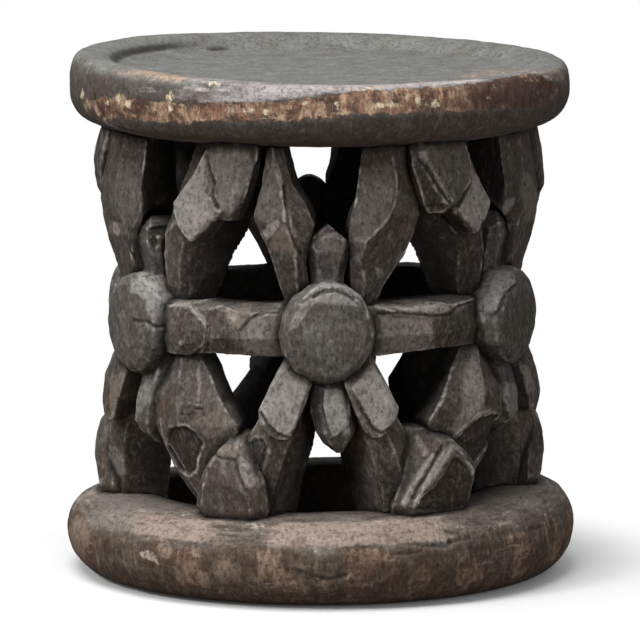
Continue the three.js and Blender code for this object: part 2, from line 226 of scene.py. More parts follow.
def scooped(places, outwards, wave, cut, cut_size, seed):
    depth = cut * (scoop(places * np.array([1, 1, 0.7]), cut_size, seed) - 0.45)
    depth += wave * swell(places, 34 * MM, seed + 11)
    depth += 0.7 * wave * swell(places, 13 * MM, seed + 12)
    depth += 0.26 * MM * swell(places, 6 * MM, seed + 13)
    depth += 0.12 * MM * swell(places, 3.2 * MM, seed + 14)
    return places + outwards * depth[:, None]


# %% [markdown]
# ## Where it wears
# The finished shape says where it wears. Where the points around a vertex lie below it, it is on an
# arris that hands and clothes have rubbed. Where they lie above it, it is in a hollow, which the
# woods darken for dirt and as painted shade. Both are measured twice: close up for thin edges, and
# wider for whole ridges and recesses.

# %% Measure wear
# Rounds of averaging, the least and the greatest height that count, and the two names.
WEAR_SCALES = ((4, 0.07, 0.36, "arris", "hollow"), (14, 0.30, 1.4, "ridge", "recess"))


def measure_wear(mesh, voxel):
    places = places_of(mesh)
    outwards = normals_of(mesh)
    edges = edges_of(mesh)
    even = places
    for rounds, low, high, arris, hollow in WEAR_SCALES:
        for _ in range(rounds):
            even = neighbour_mean(even, edges)
        stands = ((places - even) * outwards).sum(axis=1) / voxel
        for _ in range(2):
            stands = 0.5 * stands + 0.5 * neighbour_mean(stands, edges)
        put_mask(mesh, arris, smoothstep(low, high, stands))
        put_mask(mesh, hollow, smoothstep(0.7 * low, 0.8 * high, -stands))


# %% [markdown]
# ## Marks at a known place
# Some marks are clear enough to name: the raised lip over a boss, the notches on a thigh, the
# claws beside the tails. Each is an outline or a line of points on the cage's wall, given by their
# turn round the axis in degrees and their height in mm. The distance from a vertex to that line
# says how deep to cut and how much to darken or wear. A facet is sunk and darkened with painted
# shade, with a worn rim, a ridge is raised and worn, a rim is thin and worn, and a groove is sunk
# and darkened with painted shade. All other kinds only change the tone inside their outline: lit
# is painted light, shade is painted shade, and warm, white and brown are the wood's own tone. The
# painted shade goes into one mask with the real stains. Only the vertices near a mark are
# measured, which saves most of the time.

# %% Mark tools
MM_PER_DEGREE = 2.95
DEGREE = MM_PER_DEGREE * MM


def off_line(turn, height, points, closed):
    line = np.array(points, float)
    around = (turn - line[0, 0] + 180) % 360 - 180 + line[0, 0]
    spot = np.stack([around * DEGREE, height], axis=1)
    line = line * (DEGREE, MM)
    starts = line if closed else line[:-1]
    ends = np.roll(line, -1, axis=0) if closed else line[1:]
    nearest = np.full(len(spot), 1.0)
    within = np.zeros(len(spot), bool)
    for start, end in zip(starts, ends):
        along = end - start
        share = np.clip((spot - start) @ along / max(along @ along, 1e-9), 0, 1)
        nearest = np.minimum(nearest, np.linalg.norm(spot - start - share[:, None] * along, axis=1))
        if closed and start[1] != end[1]:
            crosses = (start[1] > spot[:, 1]) != (end[1] > spot[:, 1])
            crossing = along[0] * (spot[:, 1] - start[1]) / along[1] + start[0]
            within ^= crosses & (spot[:, 0] < crossing)
    return np.where(within, -nearest, nearest)


LINES = ("ridge", "rim", "groove")
INNER_WALL = 120 * MM


# With `ragged` above 1, as on the seat and the ring, a mark's border is wider and rougher.
def put_marks(places, outwards, marks, ragged=1):
    radius, turn = round_axis(places)
    seen = smoothstep(-0.5, -0.1, (outwards * away_from_axis(turn)).sum(axis=1))
    seen *= smoothstep(INNER_WALL, INNER_WALL + 6 * MM, radius)
    push = np.zeros(len(places))
    masks = {name: np.zeros(len(places)) for name in ("worn", "stain", "lit", "warm")}
    wall = np.stack([turn * DEGREE * (1 if ragged == 1 else 0.45), places[:, 2], radius], axis=1)
    by_hand = ragged * MM * (0.6 * swell(wall, 6 * MM, 31) + 0.4 * swell(wall, 2.6 * MM, 32))
    soft = 2.2 if ragged > 1 else 1

    def put_on(name, near, values):
        masks[name][near] = np.maximum(masks[name][near], values * seen[near])

    for kind, width, amount, points in marks:
        low, high = np.min(points, axis=0), np.max(points, axis=0)
        reach = 2 * width + 4 * ragged
        around = np.abs((turn - (low[0] + high[0]) / 2 + 180) % 360 - 180) - (high[0] - low[0]) / 2
        beside = (around * MM_PER_DEGREE < reach) & (seen > 0)
        above, below = places[:, 2] > (low[1] - reach) * MM, places[:, 2] < (high[1] + reach) * MM
        near = np.flatnonzero(beside & above & below)
        off = off_line(turn[near], places[near, 2], points, kind not in LINES) + by_hand[near]
        line = smoothstep(0.6 * width * MM, 0.2 * width * MM, off)
        area = smoothstep(0.4 * soft * width * MM, -0.4 * soft * width * MM, off)
        if kind == "ridge":
            push[near] += amount * MM * line * seen[near]
            put_on("worn", near, 0.3 * line)
        elif kind == "rim":
            push[near] += 0.4 * MM * line * seen[near]
            put_on("worn", near, amount * line)
        # Painted shade: a groove is darkened along its line.
        elif kind == "groove":
            push[near] -= 1.3 * amount * MM * line * seen[near]
            put_on("stain", near, 0.7 * line)
        # Painted shade: a sunk facet is darkened inside its outline.
        elif kind == "facet":
            push[near] -= 1.3 * amount * MM * smoothstep(0, -0.9 * width * MM, off) * seen[near]
            put_on("stain", near, 0.9 * area)
            put_on("worn", near, 0.25 * smoothstep(0.8 * width * MM, 0.1 * width * MM, np.abs(off)))
        # A shade mark is painted shade; a brown mark is the wood's own darker tone, at half
        # strength.
        elif kind in ("shade", "brown"):
            put_on("stain", near, amount * area * (0.5 if kind == "brown" else 1))
        # A lit mark is painted light; warm and white marks are the wood's own tone and wear.
        else:
            put_on({"lit": "lit", "warm": "warm", "white": "worn"}[kind], near, amount * area)
    return places + outwards * push[:, None], masks


# %% [markdown]
# ## The marks on this stool
# One list for each member: kind, width in mm, amount, and points. The points were picked by eye in
# the photo's pixels, and a separate program turned them into turns and heights on the solids. The
# sides that the photo doesn't show repeat the front's marks, but for the white ones, half a turn
# round.

# %% Marks
MEMBER_MARKS = {
    "arm_1": [
        ("rim", 3.2, 0.8, [(13.8, 232), (19.5, 231), (22.4, 229), (24.2, 227)]),
        ("white", 2.2, 1, [(22.3, 229), (26.6, 231), (31.4, 231), (35.5, 230), (36.5, 226),
         (34.8, 224), (29.8, 224), (26.5, 227), (23, 226)]),
        ("brown", 2.5, 0.7, [(18.1, 233), (33.6, 234), (47.7, 233), (47.7, 230), (38, 229),
         (29.5, 233), (17.6, 231)]),
        ("groove", 3, 0.8, [(14, 227), (21.9, 226), (29.2, 223), (35.9, 222), (39.7, 228),
         (47.2, 229)]),
        ("lit", 3, 0.5, [(14.5, 224), (21.8, 222), (29.4, 220), (29.8, 205), (29, 196), (21.6, 195),
         (15.3, 200)]),
        ("shade", 3, 0.5, [(30.4, 219), (38.6, 223), (46.2, 228), (45.7, 196), (36.5, 195),
         (30.3, 195)]),
    ],
    "arm_6": [
        ("brown", 2.2, 1, [(-41.8, 227), (-39.3, 227), (-37.1, 223), (-34.5, 217), (-34, 209),
         (-34.9, 200), (-38.4, 193), (-39.8, 193), (-41.9, 195)]),
        ("rim", 2.4, 0.8, [(-38.5, 226), (-35.1, 221), (-33.4, 213), (-33.8, 204), (-36.3, 195),
         (-37.9, 191)]),
        ("rim", 3, 1, [(-45.2, 229), (-41.2, 230), (-35.9, 234), (-29, 236), (-23.1, 236),
         (-13.5, 232)]),
        ("shade", 2, 0.5, [(-36.8, 229), (-31.4, 231), (-28.1, 223), (-31.8, 221), (-33.7, 225)]),
        ("warm", 2.5, 1, [(-28.3, 230), (-24.1, 234), (-22.3, 231), (-21.6, 225), (-23.9, 215),
         (-26.8, 216), (-28.1, 222)]),
        ("white", 1.6, 0.7, [(-27.3, 227), (-24.7, 224), (-25.2, 219), (-26.6, 221)]),
        ("lit", 3, 0.4, [(-20.7, 223), (-18, 227), (-12.2, 227), (-11.8, 213), (-12.6, 193),
         (-18.2, 194), (-22.3, 198), (-23.5, 208)]),
        ("shade", 3, 0.7, [(-33.6, 202), (-28.5, 213), (-24.6, 203), (-22.9, 196), (-34.8, 192)]),
        ("groove", 3, 0.8, [(-23.9, 213), (-21.2, 222), (-18, 227), (-13, 228)]),
    ],
    "base_ring": [
        ("lit", 6, 0.6, [(-79.1, 63), (-82, 65), (-59.4, 77), (-51.1, 78), (-53.1, 73), (-67.1, 65),
         (-73.2, 64)]),
        ("lit", 5, 0.6, [(-69.6, 66), (-76.8, 64), (-109.9, 52), (-120.5, 46), (-117.7, 44),
         (-61.1, 66), (-65.4, 66)]),
        ("white", 3, 0.8, [(-46.7, 65), (-46.6, 66), (-43.5, 66), (-37.6, 66), (-36.1, 66),
         (-39.4, 65), (-43.8, 65)]),
        ("white", 3, 0.8, [(-34.4, 64), (-33, 66), (-28.5, 66), (-22.7, 66), (-22.9, 66),
         (-27.4, 64), (-32, 64)]),
        ("white", 3.5, 0.8, [(-21.1, 63), (-20.5, 65), (-18.2, 66), (-15.4, 64), (-15.4, 62),
         (-17.6, 61), (-19.8, 62)]),
        ("white", 3, 0.6, [(-15.7, 62), (-14.1, 63), (-10.4, 63), (-6.7, 63), (-7.5, 62),
         (-11.1, 61), (-14.3, 61)]),
        ("white", 4, 0.6, [(-5.2, 60), (-4.2, 62), (-2.1, 63), (0, 61), (-0.5, 59), (-2.6, 58),
         (-4.4, 59)]),
        ("lit", 6, 0.8, [(-7, 51), (-5.1, 56), (-1.3, 57), (2.6, 53), (1.5, 47), (-2.2, 44),
         (-5.5, 47)]),
        ("white", 3, 0.7, [(2.5, 49), (3.3, 51), (5, 51), (6.5, 50), (6.1, 47), (4.5, 46),
         (3.1, 47)]),
        ("white", 3, 0.7, [(-4.1, 51), (-3.7, 55), (-2.8, 56), (-1.9, 53), (-2.1, 48), (-3, 46),
         (-3.8, 48)]),
        ("white", 4, 0.5, [(0.4, 58), (1.5, 60), (3.5, 60), (5.5, 59), (4.9, 57), (2.9, 56),
         (1.1, 57)]),
        ("shade", 2.5, 0.6, [(0.5, 62), (1.6, 63), (3.9, 63), (6.2, 62), (5.5, 61), (3.3, 61),
         (1.3, 61)]),
        ("shade", 2.5, 0.5, [(9.1, 68), (11, 68), (13.8, 69), (15.7, 69), (14.1, 69), (11.4, 69),
         (9.6, 68)]),
        ("shade", 2.5, 0.4, [(-11.5, 67), (-10.1, 68), (-6, 68), (-1.9, 68), (-2.8, 68), (-6.4, 67),
         (-9.8, 67)]),
        ("shade", 2.5, 0.4, [(-28.6, 63), (-27.5, 63), (-24.6, 64), (-21.6, 64), (-22, 63),
         (-24.7, 63), (-27.3, 62)]),
        ("shade", 3, 0.4, [(-58.5, 65), (-59.9, 65), (-58.8, 66), (-54.4, 66), (-51.4, 66),
         (-52.7, 65), (-55.9, 65)]),
        ("white", 2.5, 0.6, [(0.4, 66), (1.1, 66), (2.4, 67), (3.6, 66), (3.2, 65), (1.9, 65),
         (0.8, 65)]),
        ("white", 2.5, 0.6, [(4, 65), (4.7, 65), (5.9, 66), (7, 65), (6.6, 64), (5.4, 64),
         (4.4, 64)]),
        ("white", 2.5, 0.8, [(11.7, 66), (12.4, 67), (13.5, 67), (14.3, 66), (13.7, 65), (12.6, 65),
         (11.9, 65)]),
        ("white", 2.5, 0.7, [(16.9, 66), (17.7, 67), (19, 67), (19.8, 66), (19.2, 65), (17.9, 65),
         (17.1, 66)]),
        ("lit", 5, 0.7, [(-71.4, 49), (-71.3, 58), (-55.7, 69), (-47.6, 66), (-49.5, 54),
         (-56.1, 47), (-64.8, 46)]),
        ("warm", 6, 0.6, [(-89.4, 23), (-79.2, 44), (-74.2, 51), (-65.1, 45), (-65.4, 27),
         (-72.7, 15), (-81.5, 17)]),
        ("shade", 6, 0.5, [(-59.9, 33), (-57.6, 42), (-53.3, 46), (-48.3, 43), (-48.8, 33),
         (-54, 26), (-58.2, 28)]),
        ("shade", 6, 0.6, [(-58.2, 17), (-54.8, 24), (-49.7, 29), (-45.8, 26), (-47.4, 18),
         (-53.7, 11), (-57.7, 12)]),
        ("warm", 3, 0.8, [(-39.6, 40), (-39.1, 44), (-37.9, 45), (-36.5, 43), (-36.7, 39),
         (-37.9, 36), (-39.1, 38)]),
        ("warm", 5, 0.6, [(-25.6, 31), (-24.6, 38), (-22.6, 40), (-20.5, 36), (-21.1, 27),
         (-23.3, 23), (-25, 26)]),
        ("warm", 4, 0.5, [(-32.9, 34), (-32.2, 38), (-30.7, 40), (-29.1, 37), (-29.4, 31),
         (-31.1, 28), (-32.4, 30)]),
        ("shade", 4, 0.4, [(-30.2, 43), (-29.6, 45), (-28.3, 46), (-26.8, 45), (-27, 42),
         (-28.4, 40), (-29.6, 41)]),
        ("shade", 5, 0.5, [(-13.3, 37), (-12, 42), (-9.3, 44), (-6.7, 40), (-7.3, 34), (-9.9, 32),
         (-12.2, 34)]),
        ("warm", 4, 0.7, [(3.5, 31), (4.1, 35), (5.2, 36), (6.4, 33), (6.1, 27), (5, 25), (4, 27)]),
        ("warm", 3, 0.7, [(-1.9, 21), (-1.5, 24), (-0.6, 25), (0.3, 23), (0.1, 19), (-0.8, 17),
         (-1.6, 19)]),
        ("warm", 4, 0.5, [(-9.8, 26), (-9.4, 29), (-8.7, 30), (-8, 28), (-8.2, 24), (-8.9, 22),
         (-9.5, 23)]),
        ("warm", 4, 0.5, [(-16.9, 24), (-16.4, 27), (-15.5, 28), (-14.7, 26), (-14.9, 22),
         (-15.9, 21), (-16.6, 22)]),
        ("shade", 4, 0.5, [(-1.9, 35), (-0.8, 39), (1.5, 40), (3.8, 37), (3.2, 32), (0.9, 30),
         (-1, 32)]),
        ("white", 3, 0.7, [(21.6, 61), (22.4, 62), (23.6, 62), (24.7, 61), (24.1, 60), (22.9, 60),
         (21.9, 60)]),
        ("warm", 3, 0.8, [(47.6, 36), (48.1, 38), (48.9, 38), (49.7, 36), (49.6, 34), (48.7, 33),
         (47.9, 34)]),
        ("warm", 3, 0.8, [(46.3, 30), (46.5, 33), (47.3, 33), (48.3, 31), (48.3, 28), (47.5, 27),
         (46.7, 28)]),
        ("shade", 4, 0.6, [(31.1, 46), (32.4, 48), (34.9, 48), (37.2, 45), (36.4, 41), (33.9, 40),
         (31.9, 43)]),
        ("white", 3.5, 0.6, [(39.1, 58), (41.1, 60), (43.7, 60), (45.3, 57), (44, 54), (41.3, 54),
         (39.5, 56)]),
        ("white", 3, 0.8, [(60, 57), (61.8, 58), (64, 57), (65.4, 55), (63.9, 53), (61.6, 53),
         (60.2, 55)]),
        ("white", 3, 0.5, [(31.8, 57), (32.9, 59), (34.5, 59), (35.7, 57), (35, 54), (33.3, 54),
         (32.1, 55)]),
        ("lit", 4, 0.5, [(53, 77), (71.5, 70), (73.4, 71), (73.6, 70), (69, 70), (64, 70),
         (64.1, 70)]),
        ("lit", 4, 0.5, [(57.4, 79), (61.3, 79), (82.5, 68), (89.7, 63), (81.8, 65), (74, 68),
         (71.5, 70)]),
        ("lit", 4, 0.5, [(51.6, 68), (54.8, 69), (58.9, 68), (61.4, 65), (58.8, 65), (54.2, 66),
         (51.9, 67)]),
        ("shade", 4, 0.4, [(44.5, 69), (42.5, 77), (47.5, 77), (56.1, 68), (50.3, 64), (45, 64),
         (43, 67)]),
        ("shade", 3, 0.5, [(4.7, 41), (6, 43), (8.6, 43), (11.3, 41), (10.6, 40), (7.9, 39),
         (5.6, 40)]),
        ("lit", 3, 0.6, [(12.6, 50), (13.5, 51), (15, 51), (16.5, 50), (16, 48), (14.5, 48),
         (13.2, 49)]),
        ("white", 2.4, 1, [(-44.9, 37), (-43.5, 40), (-41.6, 38), (-39.8, 36), (-39.4, 28),
         (-40.9, 30), (-42.6, 32), (-44.4, 33)]),
        ("lit", 3, 1, [(5.4, 58), (12.1, 59), (19.7, 59), (25.9, 60), (28.5, 56), (28.1, 51),
         (26.5, 47), (21.8, 50), (16.3, 53), (9.9, 55), (5.3, 55)]),
        ("groove", 2.4, 0.8, [(11.6, 53), (16.7, 53), (22, 49), (27.3, 47), (28.5, 51)]),
        ("groove", 2.2, 0.7, [(-6.2, 32), (-3.6, 28), (0.3, 26), (3.8, 29)]),
        ("rim", 2.4, 0.5, [(-7.1, 36), (-4.9, 29), (-1, 25), (3.4, 27), (5.9, 33)]),
        ("groove", 2, 0.6, [(28.1, 51), (33.7, 51), (42.5, 50), (49.4, 50), (68.7, 47)]),
    ],
    "knee_1": [
        ("lit", 1.6, 0.9, [(24.8, 130), (25.7, 130), (27, 119), (26.4, 114), (25.2, 115),
         (25, 123)]),
        ("lit", 1.8, 1, [(27.9, 116), (28.6, 113), (25.6, 100), (22.4, 85), (20.2, 75), (19.6, 80),
         (22.1, 95), (25.4, 109)]),
        ("lit", 1.8, 0.9, [(33.4, 122), (35.1, 118), (31.5, 109), (27.5, 93), (25.8, 88),
         (23.4, 90), (25.6, 100), (28.9, 114)]),
        ("groove", 3.6, 0.96, [(30.5, 120), (27.5, 108), (24.6, 96), (22.1, 82)]),
        ("ridge", 3, 0.9, [(28.3, 115), (25.4, 104), (22.3, 90), (20, 78)]),
        ("ridge", 3, 0.9, [(34.2, 120), (30.9, 110), (27.3, 97), (25.4, 90)]),
        ("facet", 2.4, 1.4, [(34, 113), (36.5, 110), (38.7, 103), (40.5, 91), (40.9, 82),
         (39.2, 70), (30.7, 69), (22.5, 72), (23.9, 82), (27.6, 90), (31.7, 105)]),
        ("rim", 2.2, 0.8, [(35.1, 119), (37.6, 108), (40.8, 98), (41.5, 86), (41.2, 75)]),
    ],
    "knee_6": [
        ("warm", 2.5, 1, [(-28.3, 132), (-23.8, 138), (-20, 138), (-23, 125), (-23.4, 119),
         (-23.8, 114), (-27.5, 114), (-29.7, 119), (-32.4, 114), (-34.2, 102), (-33.3, 119),
         (-30.3, 127)]),
        ("white", 1.4, 1, [(-23.3, 119), (-23.4, 128), (-21.5, 134), (-22.3, 130), (-22.7, 124)]),
        ("brown", 4, 0.4, [(-29.9, 113), (-24.7, 113), (-22.7, 102), (-20.7, 92), (-18.3, 85),
         (-20.7, 74), (-29.5, 74), (-35.7, 74), (-34.9, 91), (-32.5, 106)]),
        ("groove", 3, 0.72, [(-33.5, 104), (-32, 113), (-30.4, 116), (-27.2, 113), (-23.8, 113),
         (-22.7, 102), (-20.3, 90)]),
        ("lit", 2, 0.75, [(-22.8, 117), (-21.3, 113), (-18.9, 105), (-18, 98), (-19.2, 92),
         (-20.5, 93), (-22.1, 102), (-23.1, 111)]),
        ("rim", 2, 0.7, [(-38.5, 76), (-37.1, 92), (-34.8, 107), (-31.6, 116)]),
    ],
    "lower_leg_left_1": [
        ("facet", 2.2, 1.8, [(-21.8, 125), (-20.3, 129), (-17.4, 131), (-15.3, 124), (-15.9, 111),
         (-17.6, 101), (-19, 99), (-20.4, 110), (-22.7, 119)]),
        ("lit", 2, 1, [(-11.4, 191), (-8, 182), (-4.2, 172), (-5.7, 165), (-7.4, 150), (-8.9, 139),
         (-10.6, 135), (-12.6, 138), (-15.2, 147), (-17, 156), (-14.5, 174)]),
        ("rim", 2.4, 0.9, [(-16.3, 153), (-14.4, 144), (-12.4, 138), (-10.3, 135), (-8.9, 139),
         (-7.6, 149)]),
        ("groove", 3, 0.88, [(-16.8, 151), (-14.9, 143), (-12.6, 135), (-10.1, 133)]),
        ("brown", 3, 0.8, [(-16.5, 146), (-13.1, 135), (-11.1, 128), (-13.2, 109), (-15.5, 90),
         (-16.6, 81), (-17.7, 98), (-15.1, 114), (-15.5, 127), (-19.5, 132)]),
        ("shade", 3, 0.9, [(-7.4, 146), (-5.4, 163), (-3.6, 166), (-6.2, 137), (-9, 118), (-12, 94),
         (-14.5, 75), (-16.6, 75), (-12.3, 107), (-9.2, 135)]),
        ("white", 3, 0.2, [(-14.7, 167), (-11, 163), (-8.4, 160), (-9.3, 142), (-10.8, 138),
         (-13.9, 148), (-16.1, 157)]),
    ],
    "lower_leg_left_2": [
        ("lit", 3, 0.7, [(42.4, 179), (45.9, 186), (46.4, 176), (46.8, 162), (44.1, 149),
         (40.4, 140), (38, 130), (37.3, 124), (34.3, 132), (37.6, 144), (39, 158), (40.3, 169)]),
        ("shade", 4, 0.6, [(31.7, 172), (40.4, 178), (38.5, 161), (37, 146), (33.1, 132),
         (26.8, 132), (25, 150), (26.8, 164)]),
        ("facet", 2.6, 2.2, [(36.8, 123), (39.1, 131), (42.7, 140), (49, 141), (54.6, 138),
         (55.1, 125), (52.7, 113), (49.5, 104), (45.7, 96), (47.9, 98), (41.2, 111), (39.6, 117)]),
        ("rim", 2.4, 0.9, [(36.1, 126), (39, 134), (42.7, 143), (48.5, 144)]),
        ("rim", 2, 0.8, [(57.1, 135), (56.1, 116), (50.7, 101), (46.3, 90)]),
        ("groove", 3, 0.8, [(48.1, 173), (48.6, 161), (46.2, 149)]),
    ],
    "lower_leg_left_6": [
        ("warm", 2, 0.8, [(-71.8, 163), (-64.2, 169), (-55.8, 167), (-67.4, 144), (-69.8, 132),
         (-71.1, 146)]),
        ("lit", 2.5, 0.6, [(-89.8, 101), (-76.1, 104), (-73.4, 97), (-74.5, 82), (-83.4, 73),
         (-89.8, 83)]),
        ("shade", 3, 0.9, [(-74.2, 122), (-68.8, 128), (-55.4, 125), (-50.8, 94), (-50.8, 80),
         (-75.1, 70), (-73.2, 102)]),
    ],
    "lower_leg_right_1": [
        ("lit", 2, 1, [(11.7, 190), (15.9, 170), (18.8, 157), (18, 150), (15.8, 142), (13.7, 138),
         (12.2, 141), (9.2, 158), (6.3, 172)]),
        ("rim", 2.4, 0.9, [(18.4, 157), (17.9, 149), (15.8, 141), (13.5, 138), (11.7, 143),
         (8.7, 160), (6.5, 171)]),
        ("groove", 3, 0.88, [(19.6, 153), (17.4, 143), (14, 135), (11.7, 138), (8.7, 154)]),
        ("brown", 3, 0.8, [(20.9, 150), (22.6, 136), (22.1, 127), (18.8, 117), (17.2, 104),
         (15.6, 115), (14, 128), (12.7, 135), (17.8, 137)]),
        ("shade", 3, 0.9, [(23.2, 130), (23.5, 117), (20.7, 104), (18.9, 76), (15.1, 75),
         (13.6, 104), (13.3, 128), (14.8, 115), (17, 102), (19.1, 115)]),
        ("white", 3, 0.35, [(11.6, 187), (16, 168), (18.4, 157), (17.6, 149), (15.5, 144),
         (13.7, 140), (12.2, 144), (9.7, 160), (7.3, 172)]),
    ],
    "lower_leg_right_2": [
        ("lit", 3, 0.6, [(64.2, 174), (68.4, 169), (72.3, 150), (68.2, 148), (66.2, 157)]),
    ],
    "lower_leg_right_6": [
        ("shade", 3, 0.55, [(-43, 183), (-39.3, 181), (-36.5, 160), (-37.5, 147), (-39.9, 147)]),
        ("rim", 3, 0.45, [(-38.7, 181), (-36.6, 168), (-35.5, 156)]),
        ("brown", 3, 0.7, [(-37.3, 180), (-29.7, 180), (-30.5, 157), (-31.5, 148), (-34.5, 154)]),
        ("shade", 2, 0.6, [(-40, 184), (-39.2, 184), (-36.5, 165), (-37.2, 164)]),
        ("warm", 3, 0.6, [(-37.2, 139), (-33.3, 145), (-29.1, 153), (-25.4, 140), (-27.3, 135),
         (-32, 127), (-34.6, 133)]),
        ("groove", 1.5, 0.7, [(-39.8, 156), (-38, 156)]),
        ("groove", 1.5, 0.7, [(-39.5, 150), (-37.6, 151)]),
        ("groove", 1.5, 0.7, [(-39.3, 145), (-37.4, 145)]),
        ("groove", 1.5, 0.7, [(-36.2, 155), (-34.3, 155)]),
        ("groove", 1.5, 0.7, [(-36, 150), (-34.1, 150)]),
        ("facet", 2.4, 2.2, [(-44.7, 133), (-38.7, 137), (-35.7, 132), (-33.8, 123), (-35.4, 113),
         (-37.1, 99), (-41.5, 92), (-46.1, 96), (-48.4, 110), (-47.7, 124)]),
        ("rim", 2, 0.8, [(-49, 137), (-48.7, 124), (-46.2, 109), (-42.6, 92), (-38.1, 76)]),
    ],
    "seat": [
        ("white", 3, 0.9, [(-73.4, 388), (-72.6, 391), (-71, 392), (-69.4, 390), (-69.8, 387),
         (-71.5, 385), (-72.8, 386)]),
        ("warm", 4, 0.7, [(-71.3, 380), (-69, 385), (-66.9, 387), (-65.1, 384), (-67, 378),
         (-69.9, 375), (-71.4, 377)]),
        ("shade", 4, 0.6, [(-89.4, 372), (-89.4, 376), (-81.7, 380), (-77.2, 378), (-81.8, 371),
         (-89.5, 366), (-89.4, 368)]),
        ("white", 3, 0.8, [(-59.4, 387), (-58.8, 389), (-57.7, 390), (-56.7, 389), (-56.9, 386),
         (-58, 384), (-59, 385)]),
        ("white", 3, 1, [(-54.5, 390), (-54, 393), (-53.2, 394), (-52.2, 392), (-52.5, 389),
         (-53.4, 387), (-54.1, 388)]),
        ("white", 4, 1, [(-51.9, 387), (-51.1, 392), (-49.7, 393), (-48.3, 390), (-48.6, 385),
         (-50.2, 383), (-51.3, 385)]),
        ("warm", 4, 0.8, [(-56, 387), (-54.3, 393), (-51.2, 395), (-48, 392), (-48.7, 385),
         (-52.4, 381), (-55, 383)]),
        ("white", 2.5, 0.8, [(-42.4, 389), (-41.9, 391), (-41.1, 391), (-40.3, 390), (-40.5, 388),
         (-41.3, 387), (-42, 387)]),
        ("white", 2.5, 1, [(-38, 397), (-37.7, 400), (-36.9, 401), (-36.1, 399), (-36.2, 395),
         (-36.9, 393), (-37.6, 394)]),
        ("white", 2.5, 0.7, [(-38.1, 388), (-37.8, 391), (-37.1, 392), (-36.4, 390), (-36.6, 386),
         (-37.3, 384), (-37.8, 386)]),
        ("brown", 3, 1, [(-34, 389), (-33.4, 392), (-32.3, 393), (-31.1, 391), (-31.4, 387),
         (-32.5, 385), (-33.5, 386)]),
        ("white", 3, 0.9, [(-24, 388), (-23.1, 391), (-21.5, 392), (-19.8, 390), (-20.2, 387),
         (-21.9, 386), (-23.3, 387)]),
        ("white", 3, 0.8, [(-19.3, 389), (-18.7, 391), (-17.4, 392), (-16.1, 390), (-16.4, 387),
         (-17.7, 386), (-18.8, 387)]),
        ("white", 4, 1, [(-15.6, 387), (-14.8, 390), (-13.2, 391), (-11.6, 389), (-12, 386),
         (-13.6, 384), (-15, 385)]),
        ("shade", 5, 0.7, [(-11.2, 391), (-10.4, 395), (-8.8, 397), (-7.2, 394), (-7.6, 388),
         (-9.1, 386), (-10.5, 388)]),
        ("white", 3, 0.8, [(-6.3, 395), (-5.9, 397), (-5.1, 397), (-4.3, 396), (-4.5, 394),
         (-5.3, 393), (-6, 394)]),
        ("warm", 4, 0.8, [(-4.1, 391), (-3.4, 396), (-2, 398), (-0.6, 394), (-0.9, 388),
         (-2.3, 385), (-3.6, 388)]),
        ("brown", 3, 1, [(-0.6, 395), (-0.2, 397), (0.6, 398), (1.4, 396), (1.2, 393), (0.4, 391),
         (-0.3, 393)]),
        ("white", 3, 1, [(1.4, 393), (1.7, 396), (2.4, 397), (3, 394), (2.8, 390), (2.2, 388),
         (1.6, 390)]),
        ("warm", 4, 0.6, [(3.6, 394), (4.4, 398), (5.9, 399), (7.4, 396), (7, 390), (5.5, 388),
         (4.2, 390)]),
        ("warm", 3, 0.8, [(8, 391), (8.6, 395), (9.7, 396), (10.8, 393), (10.5, 388), (9.4, 386),
         (8.4, 388)]),
        ("white", 2.5, 0.8, [(10.5, 392), (11.1, 394), (12.2, 394), (13.3, 393), (13, 391),
         (11.9, 390), (10.9, 391)]),
        ("white", 2.5, 0.7, [(13.7, 393), (14.1, 396), (14.6, 397), (15.1, 394), (14.9, 391),
         (14.4, 389), (13.9, 391)]),
        ("brown", 3, 0.9, [(15.5, 400), (16.4, 402), (18.1, 402), (19.6, 400), (19, 397),
         (17.4, 396), (16, 398)]),
        ("white", 4, 0.8, [(19.9, 394), (20.6, 398), (22, 399), (23.3, 396), (22.8, 391),
         (21.5, 389), (20.3, 391)]),
        ("white", 3, 1, [(23.7, 393), (24.2, 396), (25.1, 397), (26, 394), (25.7, 391), (24.7, 389),
         (24, 391)]),
        ("white", 2.5, 0.8, [(27.7, 406), (27.2, 408), (27.6, 409), (29.8, 406), (27.9, 405),
         (27.2, 404), (27.2, 405)]),
        ("white", 4, 0.7, [(17.6, 409), (18.2, 411), (19.4, 411), (20.6, 410), (21.1, 406),
         (19.1, 406), (19.1, 406)]),
        ("white", 4, 0.6, [(37.8, 401), (38.2, 403), (49.5, 401), (45.6, 401), (27.7, 406),
         (24.9, 406), (34.4, 401)]),
        ("white", 4, 0.6, [(22.7, 401), (23.8, 403), (26, 403), (29.3, 401), (16.8, 406),
         (14.8, 406), (14.4, 406)]),
        ("white", 3, 0.8, [(-28, 407), (-27.7, 409), (-26.6, 409), (-24.2, 408), (-24, 407),
         (-25.6, 405), (-27.2, 406)]),
        ("white", 3, 0.6, [(-32.3, 408), (-32, 409), (-30.9, 409), (-29.4, 408), (-29.3, 407),
         (-30.5, 407), (-31.7, 407)]),
        ("warm", 4, 0.8, [(-55.6, 410), (-54.1, 412), (-46.6, 415), (-41.3, 414), (-44, 411),
         (-48, 410), (-53.1, 409)]),
        ("warm", 4, 0.7, [(-44.5, 409), (-43.7, 411), (-38, 413), (-34, 412), (-35.5, 409),
         (-38.9, 408), (-42.6, 408)]),
        ("warm", 4, 0.6, [(52.1, 404), (82.2, 401), (85.4, 401), (77.2, 401), (64.3, 401),
         (57.2, 401), (59.9, 401)]),
        ("warm", 4, 0.6, [(52.7, 407), (58.8, 409), (90.7, 402), (70.4, 405), (54.8, 407),
         (66.5, 401), (69.5, 401)]),
        ("white", 3, 0.5, [(72.9, 401), (82.8, 401), (85.2, 401), (78.5, 401), (67.7, 401),
